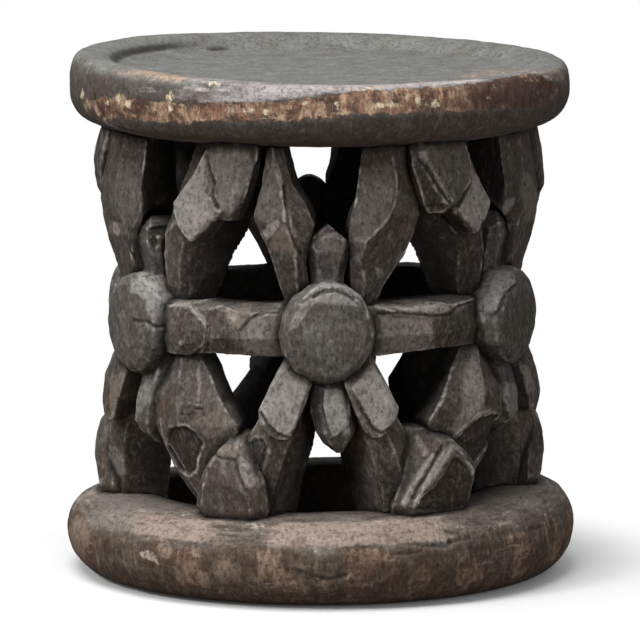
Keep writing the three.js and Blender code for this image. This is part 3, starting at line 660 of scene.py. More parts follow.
         (62.8, 401), (66.3, 401)]),
        ("white", 2.5, 0.6, [(37.8, 395), (38.8, 397), (40.6, 397), (42.7, 395), (42, 393),
         (40, 392), (38.4, 394)]),
        ("white", 2.5, 0.5, [(55.6, 393), (56.6, 395), (58.5, 395), (60.5, 393), (59.8, 391),
         (57.6, 390), (56.2, 392)]),
        ("brown", 3, 0.6, [(42.5, 391), (43.4, 394), (45.1, 394), (46.6, 391), (46, 388),
         (44.4, 386), (43, 388)]),
        ("brown", 3, 0.6, [(50.9, 391), (52.3, 394), (54.6, 394), (56.7, 391), (56, 387),
         (53.7, 385), (51.7, 388)]),
        ("lit", 5, 0.5, [(-6.6, 407), (-4.4, 411), (-0.3, 412), (3.8, 410), (2.8, 405), (-1.3, 403),
         (-4.9, 405)]),
        ("lit", 5, 0.5, [(-20.2, 405), (-19.5, 408), (-16.1, 411), (-13.9, 407), (-14.2, 402),
         (-16.6, 400), (-19, 402)]),
        ("lit", 5, 0.5, [(-33.6, 399), (-32.5, 402), (-30.4, 403), (-28.1, 401), (-28.6, 398),
         (-30.8, 397), (-32.7, 397)]),
        ("lit", 3, 0.5, [(-5, 382), (-3.8, 384), (-1.5, 385), (0.7, 383), (0.2, 381), (-2.1, 380),
         (-4.1, 381)]),
        ("lit", 3, 0.4, [(-3.5, 374), (-3, 376), (-2.1, 377), (-1.2, 375), (-1.4, 372), (-2.3, 371),
         (-3.1, 372)]),
        ("shade", 8, 0.35, [(-65.1, 395), (-62.3, 399), (-56.6, 401), (-51.8, 400), (-52.8, 396),
         (-57.5, 393), (-62.7, 393)]),
        ("groove", 3.2, 2.2, [(-63.6, 392), (-63.6, 386), (-62.9, 378), (-60.3, 371), (-56.5, 366),
         (-48.6, 363)]),
    ],
    "spider_1": [
        ("warm", 3, 0.45, [(-2, 292), (4, 293), (5, 285), (4, 268), (-1, 266)]),
        ("rim", 3.6, 1, [(-4, 290), (-2.4, 296), (-0.5, 299), (1.5, 301), (3.1, 299), (4.7, 294),
         (6.1, 289)]),
        ("brown", 2.4, 0.4, [(-1.6, 292), (1.4, 294), (3.8, 293), (5.2, 287), (4.8, 269),
         (3.1, 262), (-0.5, 262), (-1.9, 273), (-2.4, 286)]),
        ("shade", 1.6, 1, [(5.2, 287), (6.7, 285), (6.7, 277), (5.5, 265), (4.1, 256), (3.1, 261),
         (4.7, 271)]),
        ("shade", 1.6, 0.8, [(-4.3, 287), (-2.9, 285), (-2.4, 273), (-1.3, 263), (-3.3, 259),
         (-4.7, 267)]),
        ("groove", 2.7, 0.72, [(-3.2, 285), (0, 292), (3, 292), (5.5, 287)]),
        ("rim", 2.6, 1, [(-6.1, 241), (-3.9, 247), (-1.3, 251), (1.9, 251), (5.8, 247), (8.7, 241),
         (10.1, 233), (10.2, 226)]),
        ("groove", 3.3, 1.04, [(-3.4, 243), (-1.4, 247), (1.7, 248), (4.4, 245), (6.7, 241)]),
        ("lit", 2, 0.9, [(-5.9, 239), (-2.4, 243), (2.1, 245), (5.7, 241), (7.6, 235), (4.6, 236),
         (0.6, 238), (-2.9, 238), (-4.8, 233), (-7.3, 220), (-9.3, 217), (-8.3, 229)]),
        ("white", 1.2, 1, [(-7.4, 237), (-5.8, 238), (-6.3, 234)]),
        ("shade", 2.4, 1, [(-9.9, 187), (-7, 182), (-3.1, 177), (1.4, 176), (7, 178), (10.6, 188),
         (12.2, 197), (12.8, 192), (10, 180), (6.3, 172), (1.3, 170), (-4.1, 170), (-7.8, 177)]),
        ("lit", 6, 0.1, [(-4.3, 229), (5.5, 231), (7, 209), (0.6, 200), (-5.6, 206)]),
        ("lit", 2, 0.9, [(-1.3, 169), (4.5, 169), (5, 154), (5.8, 142), (3.7, 136), (1.1, 131),
         (-0.3, 145), (-1.6, 159)]),
        ("shade", 1.6, 0.9, [(4.8, 170), (6.6, 168), (7.4, 160), (5.8, 157), (4.7, 162)]),
        ("brown", 2, 0.8, [(6.1, 157), (7.7, 158), (7.5, 141), (6.1, 138), (5, 153)]),
        ("rim", 2, 0.7, [(0.8, 131), (3.4, 135), (5.8, 139), (5.2, 153)]),
        ("groove", 2.7, 0.72, [(-1.3, 167), (-1.3, 154), (0, 140), (1.4, 129)]),
        ("groove", 2.7, 0.72, [(4.8, 168), (5.2, 153), (6.1, 140), (3.4, 134)]),
        ("brown", 2, 0.7, [(-5.1, 151), (-3, 166), (-1.9, 160), (-1.6, 145), (-3, 136)]),
        ("white", 3, 0.3, [(-0.8, 167), (4, 167), (4.4, 154), (5, 143), (3.4, 139), (1.3, 136),
         (0.2, 147)]),
    ],
    "spider_2": [
        ("brown", 3, 0.6, [(54.3, 284), (56.3, 295), (57, 294), (56.1, 278), (55.7, 260),
         (54.6, 271)]),
        ("lit", 3, 0.6, [(54, 166), (57.1, 162), (63.1, 160), (73.3, 144), (73.4, 132), (68.2, 126),
         (61.4, 134), (58.9, 140), (55.8, 152)]),
        ("white", 2, 0.6, [(58, 154), (59.3, 152), (59.8, 143), (58.5, 147)]),
        ("groove", 3, 0.8, [(57.8, 149), (59.6, 137), (62.3, 129)]),
        ("lit", 3, 0.7, [(44.8, 251), (49.1, 258), (58.3, 250), (57.4, 241), (52.9, 236),
         (50.5, 229), (49.3, 222), (47.9, 222), (41.5, 233), (41.8, 241)]),
        ("white", 2, 0.6, [(48.7, 232), (50.6, 233), (50.1, 226), (48.7, 221), (48, 223)]),
        ("white", 1.4, 1, [(47.3, 221), (47.6, 221), (47.3, 212), (47.1, 212)]),
        ("brown", 4, 0.6, [(57.2, 239), (66.6, 231), (67.7, 219), (64.2, 193), (60.6, 185),
         (54.4, 197), (49.2, 207), (48.6, 218), (51.2, 228)]),
        ("shade", 3, 0.9, [(42.6, 197), (51.2, 194), (56.7, 182), (56.9, 176), (44.5, 190)]),
        ("groove", 3, 0.8, [(58, 241), (52.9, 236), (50.4, 227), (49.2, 220)]),
    ],
    "spider_6": [
        ("warm", 2, 0.9, [(-58.2, 290), (-57.5, 294), (-54.9, 294), (-53.3, 291), (-53, 288),
         (-54.3, 291), (-56.1, 289)]),
        ("facet", 2.4, 1.1, [(-56.6, 287), (-54, 290), (-52.9, 285), (-53.4, 274), (-55.3, 264),
         (-55.7, 269), (-56.6, 276)]),
        ("lit", 2, 0.4, [(-52.8, 283), (-52.9, 276), (-54.9, 258), (-52.2, 241), (-55.3, 249),
         (-55.7, 259), (-53.1, 274)]),
        ("lit", 2.5, 0.8, [(-58.9, 245), (-50.4, 253), (-46.6, 250), (-43.1, 240), (-40.8, 232),
         (-40.4, 221), (-47.7, 216), (-50.1, 227), (-54, 235), (-58.3, 236)]),
        ("white", 2, 0.6, [(-51.5, 231), (-50.7, 231), (-48.9, 224), (-48.3, 215), (-49.1, 216),
         (-50.7, 224)]),
        ("rim", 2.6, 0.9, [(-59, 249), (-56.8, 248), (-52.6, 242), (-49.6, 233), (-47.8, 226)]),
        ("shade", 2.5, 1, [(-57.2, 171), (-52.5, 181), (-49.1, 190), (-47.7, 196), (-48.2, 188),
         (-50.4, 177), (-52.9, 170)]),
        ("groove", 3, 0.72, [(-55.7, 214), (-50.3, 215), (-48.1, 211), (-41.8, 217)]),
        ("lit", 2, 0.7, [(-56.9, 165), (-51.7, 168), (-43.3, 182), (-43.7, 157), (-44.5, 144),
         (-52.5, 141), (-52.4, 149), (-55.7, 145), (-61.1, 132), (-66.5, 121), (-67.2, 127),
         (-62.7, 145)]),
        ("shade", 2, 0.9, [(-59.7, 166), (-57.7, 163), (-63.8, 142), (-73.5, 126), (-83, 123),
         (-68.4, 145)]),
    ],
    "top_block_1": [
        ("white", 2, 1, [(24.2, 353), (25.9, 353), (26.4, 347), (25.4, 343), (24.3, 347)]),
        ("shade", 2, 0.9, [(22.4, 345), (24.3, 346), (26.6, 336), (29, 323), (32.1, 312),
         (31.7, 308), (28.1, 306), (23.8, 310), (25.4, 317), (23.9, 327), (22.9, 337)]),
        ("groove", 3.9, 1.2, [(24.3, 347), (26.9, 336), (29.3, 323), (32.4, 312)]),
        ("lit", 3, 0.2, [(26.5, 354), (39.5, 351), (41.9, 338), (39.7, 327), (37, 318), (35.6, 310),
         (32, 313), (29.5, 324), (27.1, 337)]),
        ("rim", 1.8, 0.6, [(26.6, 340), (29.1, 328), (31.9, 315), (35.6, 310)]),
        ("groove", 4.5, 1.28, [(41.5, 340), (40.9, 326), (38, 317), (35.9, 309)]),
        ("lit", 2, 1, [(41.6, 337), (43.9, 328), (46.6, 319), (49.6, 309), (47.9, 301), (43.5, 294),
         (42.8, 287), (38.9, 296), (36, 304), (39, 315), (41.7, 326)]),
        ("rim", 1.8, 0.6, [(49.4, 308), (47.8, 301), (43.5, 294), (42.8, 287), (38.9, 296),
         (36, 304)]),
        ("white", 3, 0.3, [(43.4, 330), (46.6, 315), (47.4, 308), (43.4, 297), (41.4, 293),
         (37.8, 303), (40.5, 315)]),
    ],
    "top_block_6": [
        ("lit", 2, 1, [(-32.9, 351), (-35.3, 345), (-40.1, 324), (-42.8, 312), (-41.1, 301),
         (-39.2, 285), (-36.8, 283), (-33.7, 289), (-26.9, 308), (-29.4, 309), (-30.2, 316),
         (-32.8, 321), (-31.3, 328), (-33.5, 335), (-33.1, 343)]),
        ("groove", 4.8, 1.28, [(-33.2, 348), (-31.3, 338), (-29.4, 328), (-29.9, 319),
         (-28.3, 310)]),
        ("lit", 2.5, 0.35, [(-31.8, 351), (-20.3, 353), (-19.4, 343), (-20, 334), (-22.1, 319),
         (-23.2, 310), (-25.4, 303), (-26.6, 309), (-27.9, 318), (-28.4, 330), (-29.8, 340)]),
        ("shade", 2.5, 1, [(-19, 350), (-19.5, 335), (-21.6, 319), (-24.1, 304), (-21, 303),
         (-19.4, 311), (-17.5, 323), (-15.2, 343), (-15.7, 352)]),
        ("rim", 1.6, 0.6, [(-42.5, 311), (-41.1, 301), (-38.9, 286), (-36.8, 284), (-33.6, 290),
         (-27.2, 308)]),
        ("white", 3, 0.2, [(-40.2, 313), (-35.2, 310), (-31.4, 309), (-33.6, 293), (-36.8, 287),
         (-39.2, 292)]),
    ],
    "upper_leg_left_1": [
        ("lit", 2, 0.4, [(-14.2, 347), (-17.2, 327), (-19.9, 310), (-19.6, 303), (-17.3, 299),
         (-11, 300), (-11.4, 316), (-12.6, 335)]),
        ("rim", 2.2, 1, [(-13.2, 344), (-12.1, 332), (-11.4, 317), (-10.8, 301)]),
        ("white", 2, 0.9, [(-17.3, 290), (-15.6, 297), (-13.2, 301), (-11.9, 298), (-14, 291),
         (-16.3, 284)]),
        ("warm", 3, 0.9, [(-14.4, 288), (-11, 299), (-9.6, 288), (-7.6, 278), (-10.3, 275),
         (-13.8, 275), (-15.7, 281)]),
        ("brown", 3, 0.8, [(-11.1, 328), (-7.9, 328), (-4.6, 310), (-2.9, 300), (-5, 292),
         (-6.6, 284), (-7.9, 279), (-9.5, 292), (-10.6, 311)]),
        ("groove", 2.7, 0.8, [(-11.3, 328), (-10.6, 311), (-9.8, 296), (-8.1, 281), (-6.9, 275)]),
        ("shade", 3, 0.5, [(-15.1, 272), (-7.2, 273), (-5.8, 253), (-6.8, 238), (-11.8, 235),
         (-13.1, 249)]),
        ("lit", 1.6, 0.8, [(-6.6, 285), (-5, 292), (-4, 289), (-4.8, 281)]),
    ],
    "upper_leg_left_2": [
        ("shade", 4, 0.75, [(31.2, 301), (45, 298), (47.9, 283), (67.2, 253), (59.7, 231),
         (42, 235), (36.7, 255), (32.1, 282)]),
    ],
    "upper_leg_left_6": [
        ("lit", 4, 0.2, [(-67.2, 333), (-71.4, 312), (-75.2, 291), (-64.3, 289), (-59.3, 291),
         (-51.6, 306), (-52.3, 325), (-60.5, 334)]),
        ("shade", 4, 0.7, [(-70.1, 352), (-47.5, 358), (-46.4, 331), (-49.6, 310), (-60.1, 324),
         (-60.6, 336), (-67.4, 337)]),
        ("white", 1.6, 0.9, [(-74.2, 285), (-70.2, 286), (-69.2, 279), (-72.5, 275), (-75.7, 278)]),
        ("warm", 3, 0.7, [(-78.8, 285), (-64.5, 288), (-62.6, 280), (-73.1, 273), (-79.9, 275)]),
        ("groove", 3, 0.64, [(-65.9, 274), (-62.9, 262), (-63.4, 248)]),
    ],
    "upper_leg_right_1": [
        ("lit", 3, 0.25, [(16.2, 345), (18.3, 341), (18.6, 327), (17.5, 315), (14.8, 300),
         (11.5, 289), (7.5, 277), (6.1, 295), (6.9, 307), (8.3, 320), (8.9, 332), (11.1, 343)]),
        ("rim", 2.4, 0.7, [(18.2, 339), (18.2, 324), (17.3, 312), (14.6, 298), (11, 287)]),
        ("brown", 4, 0.5, [(19.8, 333), (24.5, 318), (25.3, 305), (25.1, 294), (21.9, 277),
         (18.3, 265), (13, 238), (6.6, 240), (4.8, 258), (7.3, 272), (11.7, 283), (17, 299)]),
        ("shade", 3, 0.6, [(15.3, 355), (23.3, 342), (23.1, 333), (19.6, 339), (16.2, 347),
         (11.7, 345)]),
        ("rim", 1.8, 0.8, [(27.8, 303), (25.5, 285), (20.2, 267), (17, 251), (14.3, 239)]),
        ("white", 1.8, 0.6, [(13.1, 263), (15.3, 261), (16.5, 256), (14.3, 254)]),
        ("groove", 2.7, 0.64, [(18.6, 341), (19.5, 333), (19, 325)]),
    ],
    "upper_leg_right_2": [
        ("lit", 2, 0.7, [(58.5, 304), (58.9, 307), (62.6, 308), (61.2, 298), (58.8, 293),
         (55.3, 298)]),
        ("facet", 2, 1.4, [(67.1, 278), (62.3, 283), (65.2, 277), (66.5, 265), (63.2, 260),
         (65.4, 265)]),
        ("lit", 3, 0.5, [(66.8, 329), (75.3, 315), (85.8, 293), (82.5, 282), (69.9, 285),
         (64.2, 308)]),
    ],
    "upper_leg_right_6": [
        ("shade", 2, 1, [(-42.6, 279), (-32.9, 302), (-25.5, 302), (-26.2, 288), (-30.6, 264),
         (-33, 240), (-48.1, 230), (-46.9, 240), (-45.7, 261), (-44.2, 276)]),
        ("rim", 1.5, 0.5, [(-44.5, 277), (-45.9, 266), (-47.2, 240)]),
        ("lit", 2, 0.2, [(-46, 295), (-44.7, 279), (-46.2, 264), (-47.6, 238), (-49.6, 242),
         (-53, 262), (-53.5, 278), (-51.7, 291)]),
    ],
}


# The carver set the cage a little off level: in mm for turns in degrees and heights in mm.
CAGE_R = 168
FOOT_TOP, SEAT_LEVEL, LEVEL_SPAN = 68, 385, 173
RISE_TO_THE_RIGHT, FALL_TO_THE_BACK = 0.017, 0.055


def set_off_level(turn, height):
    x, y = CAGE_R * math.sin(math.radians(turn)), -CAGE_R * math.cos(math.radians(turn))
    share = min(1, max(0, height / FOOT_TOP)) * min(1, max(0, (SEAT_LEVEL - height) / LEVEL_SPAN))
    return share * (RISE_TO_THE_RIGHT * x - FALL_TO_THE_BACK * max(0, y))


def half_turn_on(mark):
    kind, width, amount, points = mark
    moved = []
    for turn, height in points:
        level = height - set_off_level(turn, height)
        level += set_off_level(turn + 180, level)
        moved.append((turn + 180 if turn < 0 else turn - 180, level))
    turns = [turn for turn, _ in moved]
    if max(turns) - min(turns) > 180:
        moved = [(turn if turn > 0 else turn + 360, height) for turn, height in moved]
    return kind, width, amount, moved


for member in [name for name in MEMBER_MARKS if name[-1] in "612"]:
    stem, number = member.rsplit("_", 1)
    opposite = stem + "_" + str((int(number) + 2) % 6 + 1)
    repeated = [mark for mark in MEMBER_MARKS[member] if mark[0] != "white"]
    MEMBER_MARKS[opposite] = [half_turn_on(mark) for mark in repeated]
print(sum(len(marks) for marks in MEMBER_MARKS.values()), "marks on", len(MEMBER_MARKS), "members")

# %% [markdown]
# ## Camera and light
# The photo was taken from 4.5 m away, a little above the seat, with a long lens. The light is soft
# and comes from above, a little from the left and the front, as under a bright sky. A wide lamp
# overhead, a key at the left and a broad one at the right give that, and a weak one behind keeps
# the back from going black. The floor is white to the camera and darker to the light that bounces,
# so the undersides stay as dark as they are in the photo.

# %% Camera
CAMERA_TURN = math.radians(-2)
CAMERA_AWAY = 4.5
CAMERA_HEIGHT = 0.85
AIM = Vector((0, 0, 0.2))
FOCAL_PIXELS = 5657.3
PICTURE = 640
SHIFT_RIGHT, SHIFT_UP = 0.5, -1.2

camera = bpy.data.objects.new("camera", bpy.data.cameras.new("camera"))
scene.collection.objects.link(camera)
right, forward = math.sin(CAMERA_TURN), math.cos(CAMERA_TURN)
camera.location = (CAMERA_AWAY * right, -CAMERA_AWAY * forward, CAMERA_HEIGHT)
camera.rotation_euler = (AIM - camera.location).to_track_quat("-Z", "Y").to_euler()
camera.data.sensor_fit = "HORIZONTAL"
camera.data.angle = 2 * math.atan(PICTURE / 2 / FOCAL_PIXELS)
camera.data.shift_x = SHIFT_RIGHT / PICTURE
camera.data.shift_y = SHIFT_UP / PICTURE
camera.data.clip_end = 50
scene.camera = camera
scene.view_settings.view_transform = "Standard"
print("lens", round(camera.data.lens), "mm")


# %% [markdown]
# ## Short names for shader nodes
# Each material and light below is a chain of nodes. These helpers add one node, fill its sockets
# with a value or a link, and hand back its output, so that a chain reads like a formula.

# %% Node helpers
def add(tree, kind, **settings):
    node = tree.nodes.new("ShaderNode" + kind)
    for key, value in settings.items():
        setattr(node, key, value)
    return node


def fill(tree, socket, value):
    if isinstance(value, tuple):
        socket.default_value = (*value, 1) if socket.type == "RGBA" else value
    elif isinstance(value, (int, float)):
        socket.default_value = value
    else:
        tree.links.new(value, socket)


def math_node(tree, operation, first, second=None, clamp=False):
    node = add(tree, "Math", operation=operation, use_clamp=clamp)
    fill(tree, node.inputs[0], first)
    if second is not None:
        fill(tree, node.inputs[1], second)
    return node.outputs[0]


def vector_node(tree, operation, first, second=None):
    node = add(tree, "VectorMath", operation=operation)
    tree.links.new(first, node.inputs[0])
    if second is not None:
        fill(tree, node.inputs[1], second)
    return node.outputs["Value" if operation == "LENGTH" else "Vector"]


def ramp(tree, value, low, high):
    node = add(tree, "MapRange", interpolation_type="SMOOTHSTEP")
    fill(tree, node.inputs["From Min"], low)
    fill(tree, node.inputs["From Max"], high)
    tree.links.new(value, node.inputs["Value"])
    return node.outputs["Result"]


def plain_shader(tree, kind, colour, strength=None):
    node = add(tree, kind)
    fill(tree, node.inputs["Color"], colour)
    if strength is not None:
        node.inputs["Strength"].default_value = strength
    return node.outputs[0]


def seen_directly(tree):
    rays = add(tree, "LightPath").outputs
    return math_node(tree, "MAXIMUM", rays["Is Camera Ray"], rays["Is Transmission Ray"])


def mixed(tree, factor, first, second):
    node = add(tree, "MixShader")
    for socket, value in zip(node.inputs, (factor, first, second)):
        tree.links.new(value, socket)
    return node.outputs[0]


# %% [markdown]
# ## Lamps, sky and floor
# Light Path tells the camera's rays from the light that bounces. The camera sees a plain white
# world, and a white floor with the stool's shadow near it. Everything else sees a dim sky and a
# darker floor.

# %% Lamps and world
def lamp(name, power, size, place, target=(0, 0, 0.25)):
    light = bpy.data.objects.new(name, bpy.data.lights.new(name, "AREA"))
    scene.collection.objects.link(light)
    light.data.shape = "DISK"
    light.data.size = size
    light.data.energy = power
    light.location = place
    light.rotation_euler = (Vector(target) - Vector(place)).to_track_quat("-Z", "Y").to_euler()


lamp("sky_lamp", 50, 1.8, (-0.5, -0.6, 2.3))
lamp("key_lamp", 58, 1.0, (-2.5, -1.7, 2.1))
lamp("front_lamp", 25, 1.6, (1.9, -3.1, 1.0))
lamp("back_lamp", 13, 1.6, (1.2, 2.9, 1.5))

WHITE = (1, 1, 1)
PALE_SKY = (0.9, 0.95, 1)
world = bpy.data.worlds.new("studio")
scene.world = world
world.use_nodes = True
tree = world.node_tree
tree.nodes.clear()
lit = plain_shader(tree, "Background", PALE_SKY, 0.14)
behind = plain_shader(tree, "Background", WHITE)
result = mixed(tree, seen_directly(tree), lit, behind)
tree.links.new(result, add(tree, "OutputWorld").inputs["Surface"])
print(len(bpy.data.lights), "lamps")

# %% Floor
FLOOR_REACH = 12
PALE_FLOOR = (0.95, 0.95, 0.95)
BOUNCE_FLOOR = (0.22, 0.2, 0.18)
SHADOW_TO = (0.16, 0.33)
floor_mesh = bpy.data.meshes.new("floor")
corners = [(x * FLOOR_REACH, y * FLOOR_REACH, 0) for x, y in ((-1, -1), (1, -1), (1, 1), (-1, 1))]
floor_mesh.from_pydata(corners, [], [(0, 1, 2, 3)])
floor = bpy.data.objects.new("floor", floor_mesh)
scene.collection.objects.link(floor)
floor.location.z = -0.5 * MM
floor_stuff = bpy.data.materials.new("white_floor")
floor_stuff.use_nodes = True
tree = floor_stuff.node_tree
tree.nodes.clear()
away = vector_node(tree, "LENGTH", add(tree, "NewGeometry").outputs["Position"])
shadowed = plain_shader(tree, "BsdfDiffuse", PALE_FLOOR)
bounced = plain_shader(tree, "BsdfDiffuse", BOUNCE_FLOOR)
faded = plain_shader(tree, "Emission", WHITE)
seen_floor = mixed(tree, ramp(tree, away, *SHADOW_TO), shadowed, faded)
result = mixed(tree, seen_directly(tree), bounced, seen_floor)
tree.links.new(result, add(tree, "OutputMaterial").inputs["Surface"])
floor_mesh.materials.append(floor_stuff)
print("the floor fades to white from", SHADOW_TO[0], "to", SHADOW_TO[1], "m")

# %% [markdown]
# ## Shared effects as node groups
# Several effects show up in every wood here: fibres, streaks, edge wear, dirt and painted shade in
# the creases, dust on what faces up, and spots of several sizes. Each is a node group with named
# sockets, so each wood can use it with its own values. A group gives back only masks, heights or
# colours.

# %% Group helpers
def group(name, inputs, outputs):
    tree = bpy.data.node_groups.new(name, "ShaderNodeTree")
    for label, value in inputs:
        coloured = isinstance(value, tuple)
        kind = "NodeSocketColor" if coloured else "NodeSocketFloat"
        socket = tree.interface.new_socket(label, in_out="INPUT", socket_type=kind)
        socket.default_value = (*value, 1) if coloured else value
    for label in outputs:
        kind = "NodeSocketColor" if label == "Colour" else "NodeSocketFloat"
        tree.interface.new_socket(label, in_out="OUTPUT", socket_type=kind)
    return tree, tree.nodes.new("NodeGroupInput").outputs, tree.nodes.new("NodeGroupOutput").inputs


def use(tree, shared, **values):
    node = add(tree, "Group", node_tree=shared)
    for label, value in values.items():
        fill(tree, node.inputs[label], value)
    return node.outputs


def blend(tree, factor, under, over):
    node = add(tree, "Mix", data_type="RGBA")
    tree.links.new(factor, node.inputs["Factor"])
    sockets = [socket for socket in node.inputs if socket.type == "RGBA"]
    fill(tree, sockets[0], under)
    fill(tree, sockets[1], over)
    return [socket for socket in node.outputs if socket.type == "RGBA"][0]


def position(tree, by=(1, 1, 1)):
    return vector_node(tree, "MULTIPLY", add(tree, "NewGeometry").outputs["Position"], by)


def facing_up(tree):
    split = add(tree, "SeparateXYZ")
    tree.links.new(add(tree, "NewGeometry").outputs["Normal"], split.inputs[0])
    return split.outputs["Z"]


def noise_node(tree, coordinates, scale, detail, rough, distortion=0):
    node = add(tree, "TexNoise")
    node.inputs["Detail"].default_value = detail
    node.inputs["Roughness"].default_value = rough
    node.inputs["Distortion"].default_value = distortion
    fill(tree, node.inputs["Scale"], scale)
    tree.links.new(coordinates, node.inputs["Vector"])
    return node.outputs["Fac"]


def mask(tree, name):
    return add(tree, "Attribute", attribute_name=name).outputs["Fac"]


def times(tree, first, second, clamp=False):
    return math_node(tree, "MULTIPLY", first, second, clamp)


def greater(tree, first, second):
    return math_node(tree, "MAXIMUM", first, second)


# %% Fibres
# Fibres run up the stool: the noise is stretched along z. Cracks show on steep faces only.
tree, given, gives = group("wood_fibres", [("Contrast", 0.5)], ["Mask", "Cracks", "Height"])
fibres = tree
lines = ramp(tree, noise_node(tree, position(tree, (1, 1, 0.3)), 120, 6, 0.68, 1.2), 0.38, 0.62)
cracks = ramp(tree, noise_node(tree, position(tree, (1, 1, 0.12)), 200, 5, 0.66, 0.4), 0.58, 0.72)
cracks = times(tree, cracks, ramp(tree, math_node(tree, "ABSOLUTE", facing_up(tree)), 0.7, 0.35))
tree.links.new(times(tree, lines, given["Contrast"]), gives["Mask"])
tree.links.new(cracks, gives["Cracks"])
tree.links.new(math_node(tree, "SUBTRACT", lines, times(tree, cracks, 1.5)), gives["Height"])


# %% Streaks round the axis
# Noise in four dimensions: the direction from the axis takes two, the height and the radius one
# each, so every direction has its own stretch and there is no seam at the back.
MEAN_RADIUS = 0.2


def round_noise(tree, around, up, across, scale):
    split = add(tree, "SeparateXYZ")
    tree.links.new(position(tree), split.inputs[0])
    flat = add(tree, "CombineXYZ")
    tree.links.new(split.outputs["X"], flat.inputs["X"])
    tree.links.new(split.outputs["Y"], flat.inputs["Y"])
    reach = MEAN_RADIUS * around
    rounds = vector_node(tree, "NORMALIZE", flat.outputs[0])
    rounds = vector_node(tree, "MULTIPLY", rounds, (reach, reach, 0))
    rise = add(tree, "CombineXYZ")
    tree.links.new(times(tree, split.outputs["Z"], up), rise.inputs["Z"])
    node = add(tree, "TexNoise", noise_dimensions="4D")
    node.inputs["Detail"].default_value = 6
    node.inputs["Roughness"].default_value = 0.65
    node.inputs["Scale"].default_value = scale
    tree.links.new(vector_node(tree, "ADD", rounds, rise.outputs[0]), node.inputs["Vector"])
    radius = vector_node(tree, "LENGTH", flat.outputs[0])
    tree.links.new(times(tree, radius, across), node.inputs["W"])
    return node.outputs["Fac"]


tree, given, gives = group("turned_streaks", [], ["Level", "Upright"])
streaks_group = tree
tree.links.new(round_noise(tree, 0.22, 1, 1, 190), gives["Level"])
tree.links.new(round_noise(tree, 1, 0.3, 0.6, 190), gives["Upright"])

# %% Edge wear
# Thin edges wear most and whole ridges about half as much, both in broken patches.
tree, given, gives = group("edge_wear", [("Amount", 0.8)], ["Mask"])
wear = tree
edge = greater(tree, mask(tree, "arris"), times(tree, mask(tree, "ridge"), 0.55))
broken = ramp(tree, noise_node(tree, position(tree), 90, 6, 0.7), 0.38, 0.62)
tree.links.new(times(tree, times(tree, edge, broken), given["Amount"], True), gives["Mask"])

# %% Dirt and painted shade in creases
# The strongest of the four masks counts: hollows, recesses and creases are darkened for dirt and as
# painted shade, and the inside of the cage as painted shade. Noise thins it here and there.
tree, given, gives = group("crease_dirt", [("Amount", 0.9)], ["Mask"])
dirt_and_shade = tree
most = times(tree, mask(tree, "hollow"), 0.6)
most = greater(tree, most, times(tree, mask(tree, "recess"), 0.6))
most = greater(tree, most, mask(tree, "crease"))
most = greater(tree, most, mask(tree, "inside"))
patchy = ramp(tree, noise_node(tree, position(tree), 130, 4, 0.6), 0.1, 0.6)
soft = times(tree, most, math_node(tree, "ADD", times(tree, patchy, 0.4), 0.6))
tree.links.new(times(tree, soft, given["Amount"], True), gives["Mask"])

# %% Dust on what faces up
# Dust lies on what faces up, thicker in some clouds than in others.
tree, given, gives = group("top_dust", [("Amount", 0.5)], ["Mask"])
dust = tree
facing = ramp(tree, facing_up(tree), 0.15, 0.85)
cloud = ramp(tree, noise_node(tree, position(tree), 55, 6, 0.62), 0.25, 0.75)
settled = times(tree, facing, math_node(tree, "ADD", times(tree, cloud, 0.6), 0.4))
tree.links.new(times(tree, settled, given["Amount"], True), gives["Mask"])

# %% Patches of another tone
# Soft patches, into which each wood mixes brown, and at another scale olive.
tree, given, gives = group("tone_patches", [("Scale", 28), ("Low", 0.42), ("High", 0.62)], ["Mask"])
mottle = tree
patches = noise_node(tree, position(tree), given["Scale"], 6, 0.62, 0.4)
tree.links.new(ramp(tree, patches, given["Low"], given["High"]), gives["Mask"])

# %% Spots of four kinds, and pits
# For each kind: stretch along z, scale, detail, roughness and distortion of the noise, then where
# in the noise the spots begin and where they are full.
SPOTS = {"Blotch": (0.8, 80, 6, 0.7, 0.5, 0.44, 0.6), "Cloud": (0.7, 130, 5, 0.6, 0.4, 0.52, 0.7),
         "Fleck": (0.6, 300, 6, 0.75, 0, 0.5, 0.72), "Speck": (0.6, 360, 6, 0.75, 0, 0.56, 0.30)}
amounts = [("Blotch", 0.75), ("Cloud", 0.34), ("Fleck", 0.4), ("Speck", 0.72)]
tree, given, gives = group("spots", amounts, [*SPOTS, "Pits"])
spots_group = tree
for label, (squash, scale, detail, rough, distortion, low, high) in SPOTS.items():
    noise = noise_node(tree, position(tree, (1, 1, squash)), scale, detail, rough, distortion)
    tree.links.new(times(tree, ramp(tree, noise, low, high), given[label]), gives[label])
tree.links.new(noise_node(tree, position(tree), 620, 3, 0.6), gives["Pits"])

# %% Marked places
# The masks of the named marks, with ragged borders. Lit is painted light, and the stain mask holds
# real stains together with painted shade.
amounts = [("Worn", 0.9), ("Stained", 0.95), ("Lit", 0.9), ("Warm", 0.9)]
tree, given, gives = group("marked_places", amounts, ["Worn", "Stained", "Lit", "Warm"])
marked = tree
breakup = ramp(tree, noise_node(tree, position(tree), 210, 5, 0.7), 0.38, 0.6)
ragged = math_node(tree, "ADD", times(tree, breakup, 0.45), 0.55)
for label, name in (("Worn", "worn"), ("Stained", "stain"), ("Lit", "lit"), ("Warm", "warm")):
    amount = times(tree, mask(tree, name), given[label])
    tree.links.new(times(tree, amount, ragged, True), gives[label])
print(len(bpy.data.node_groups), "shared effects")

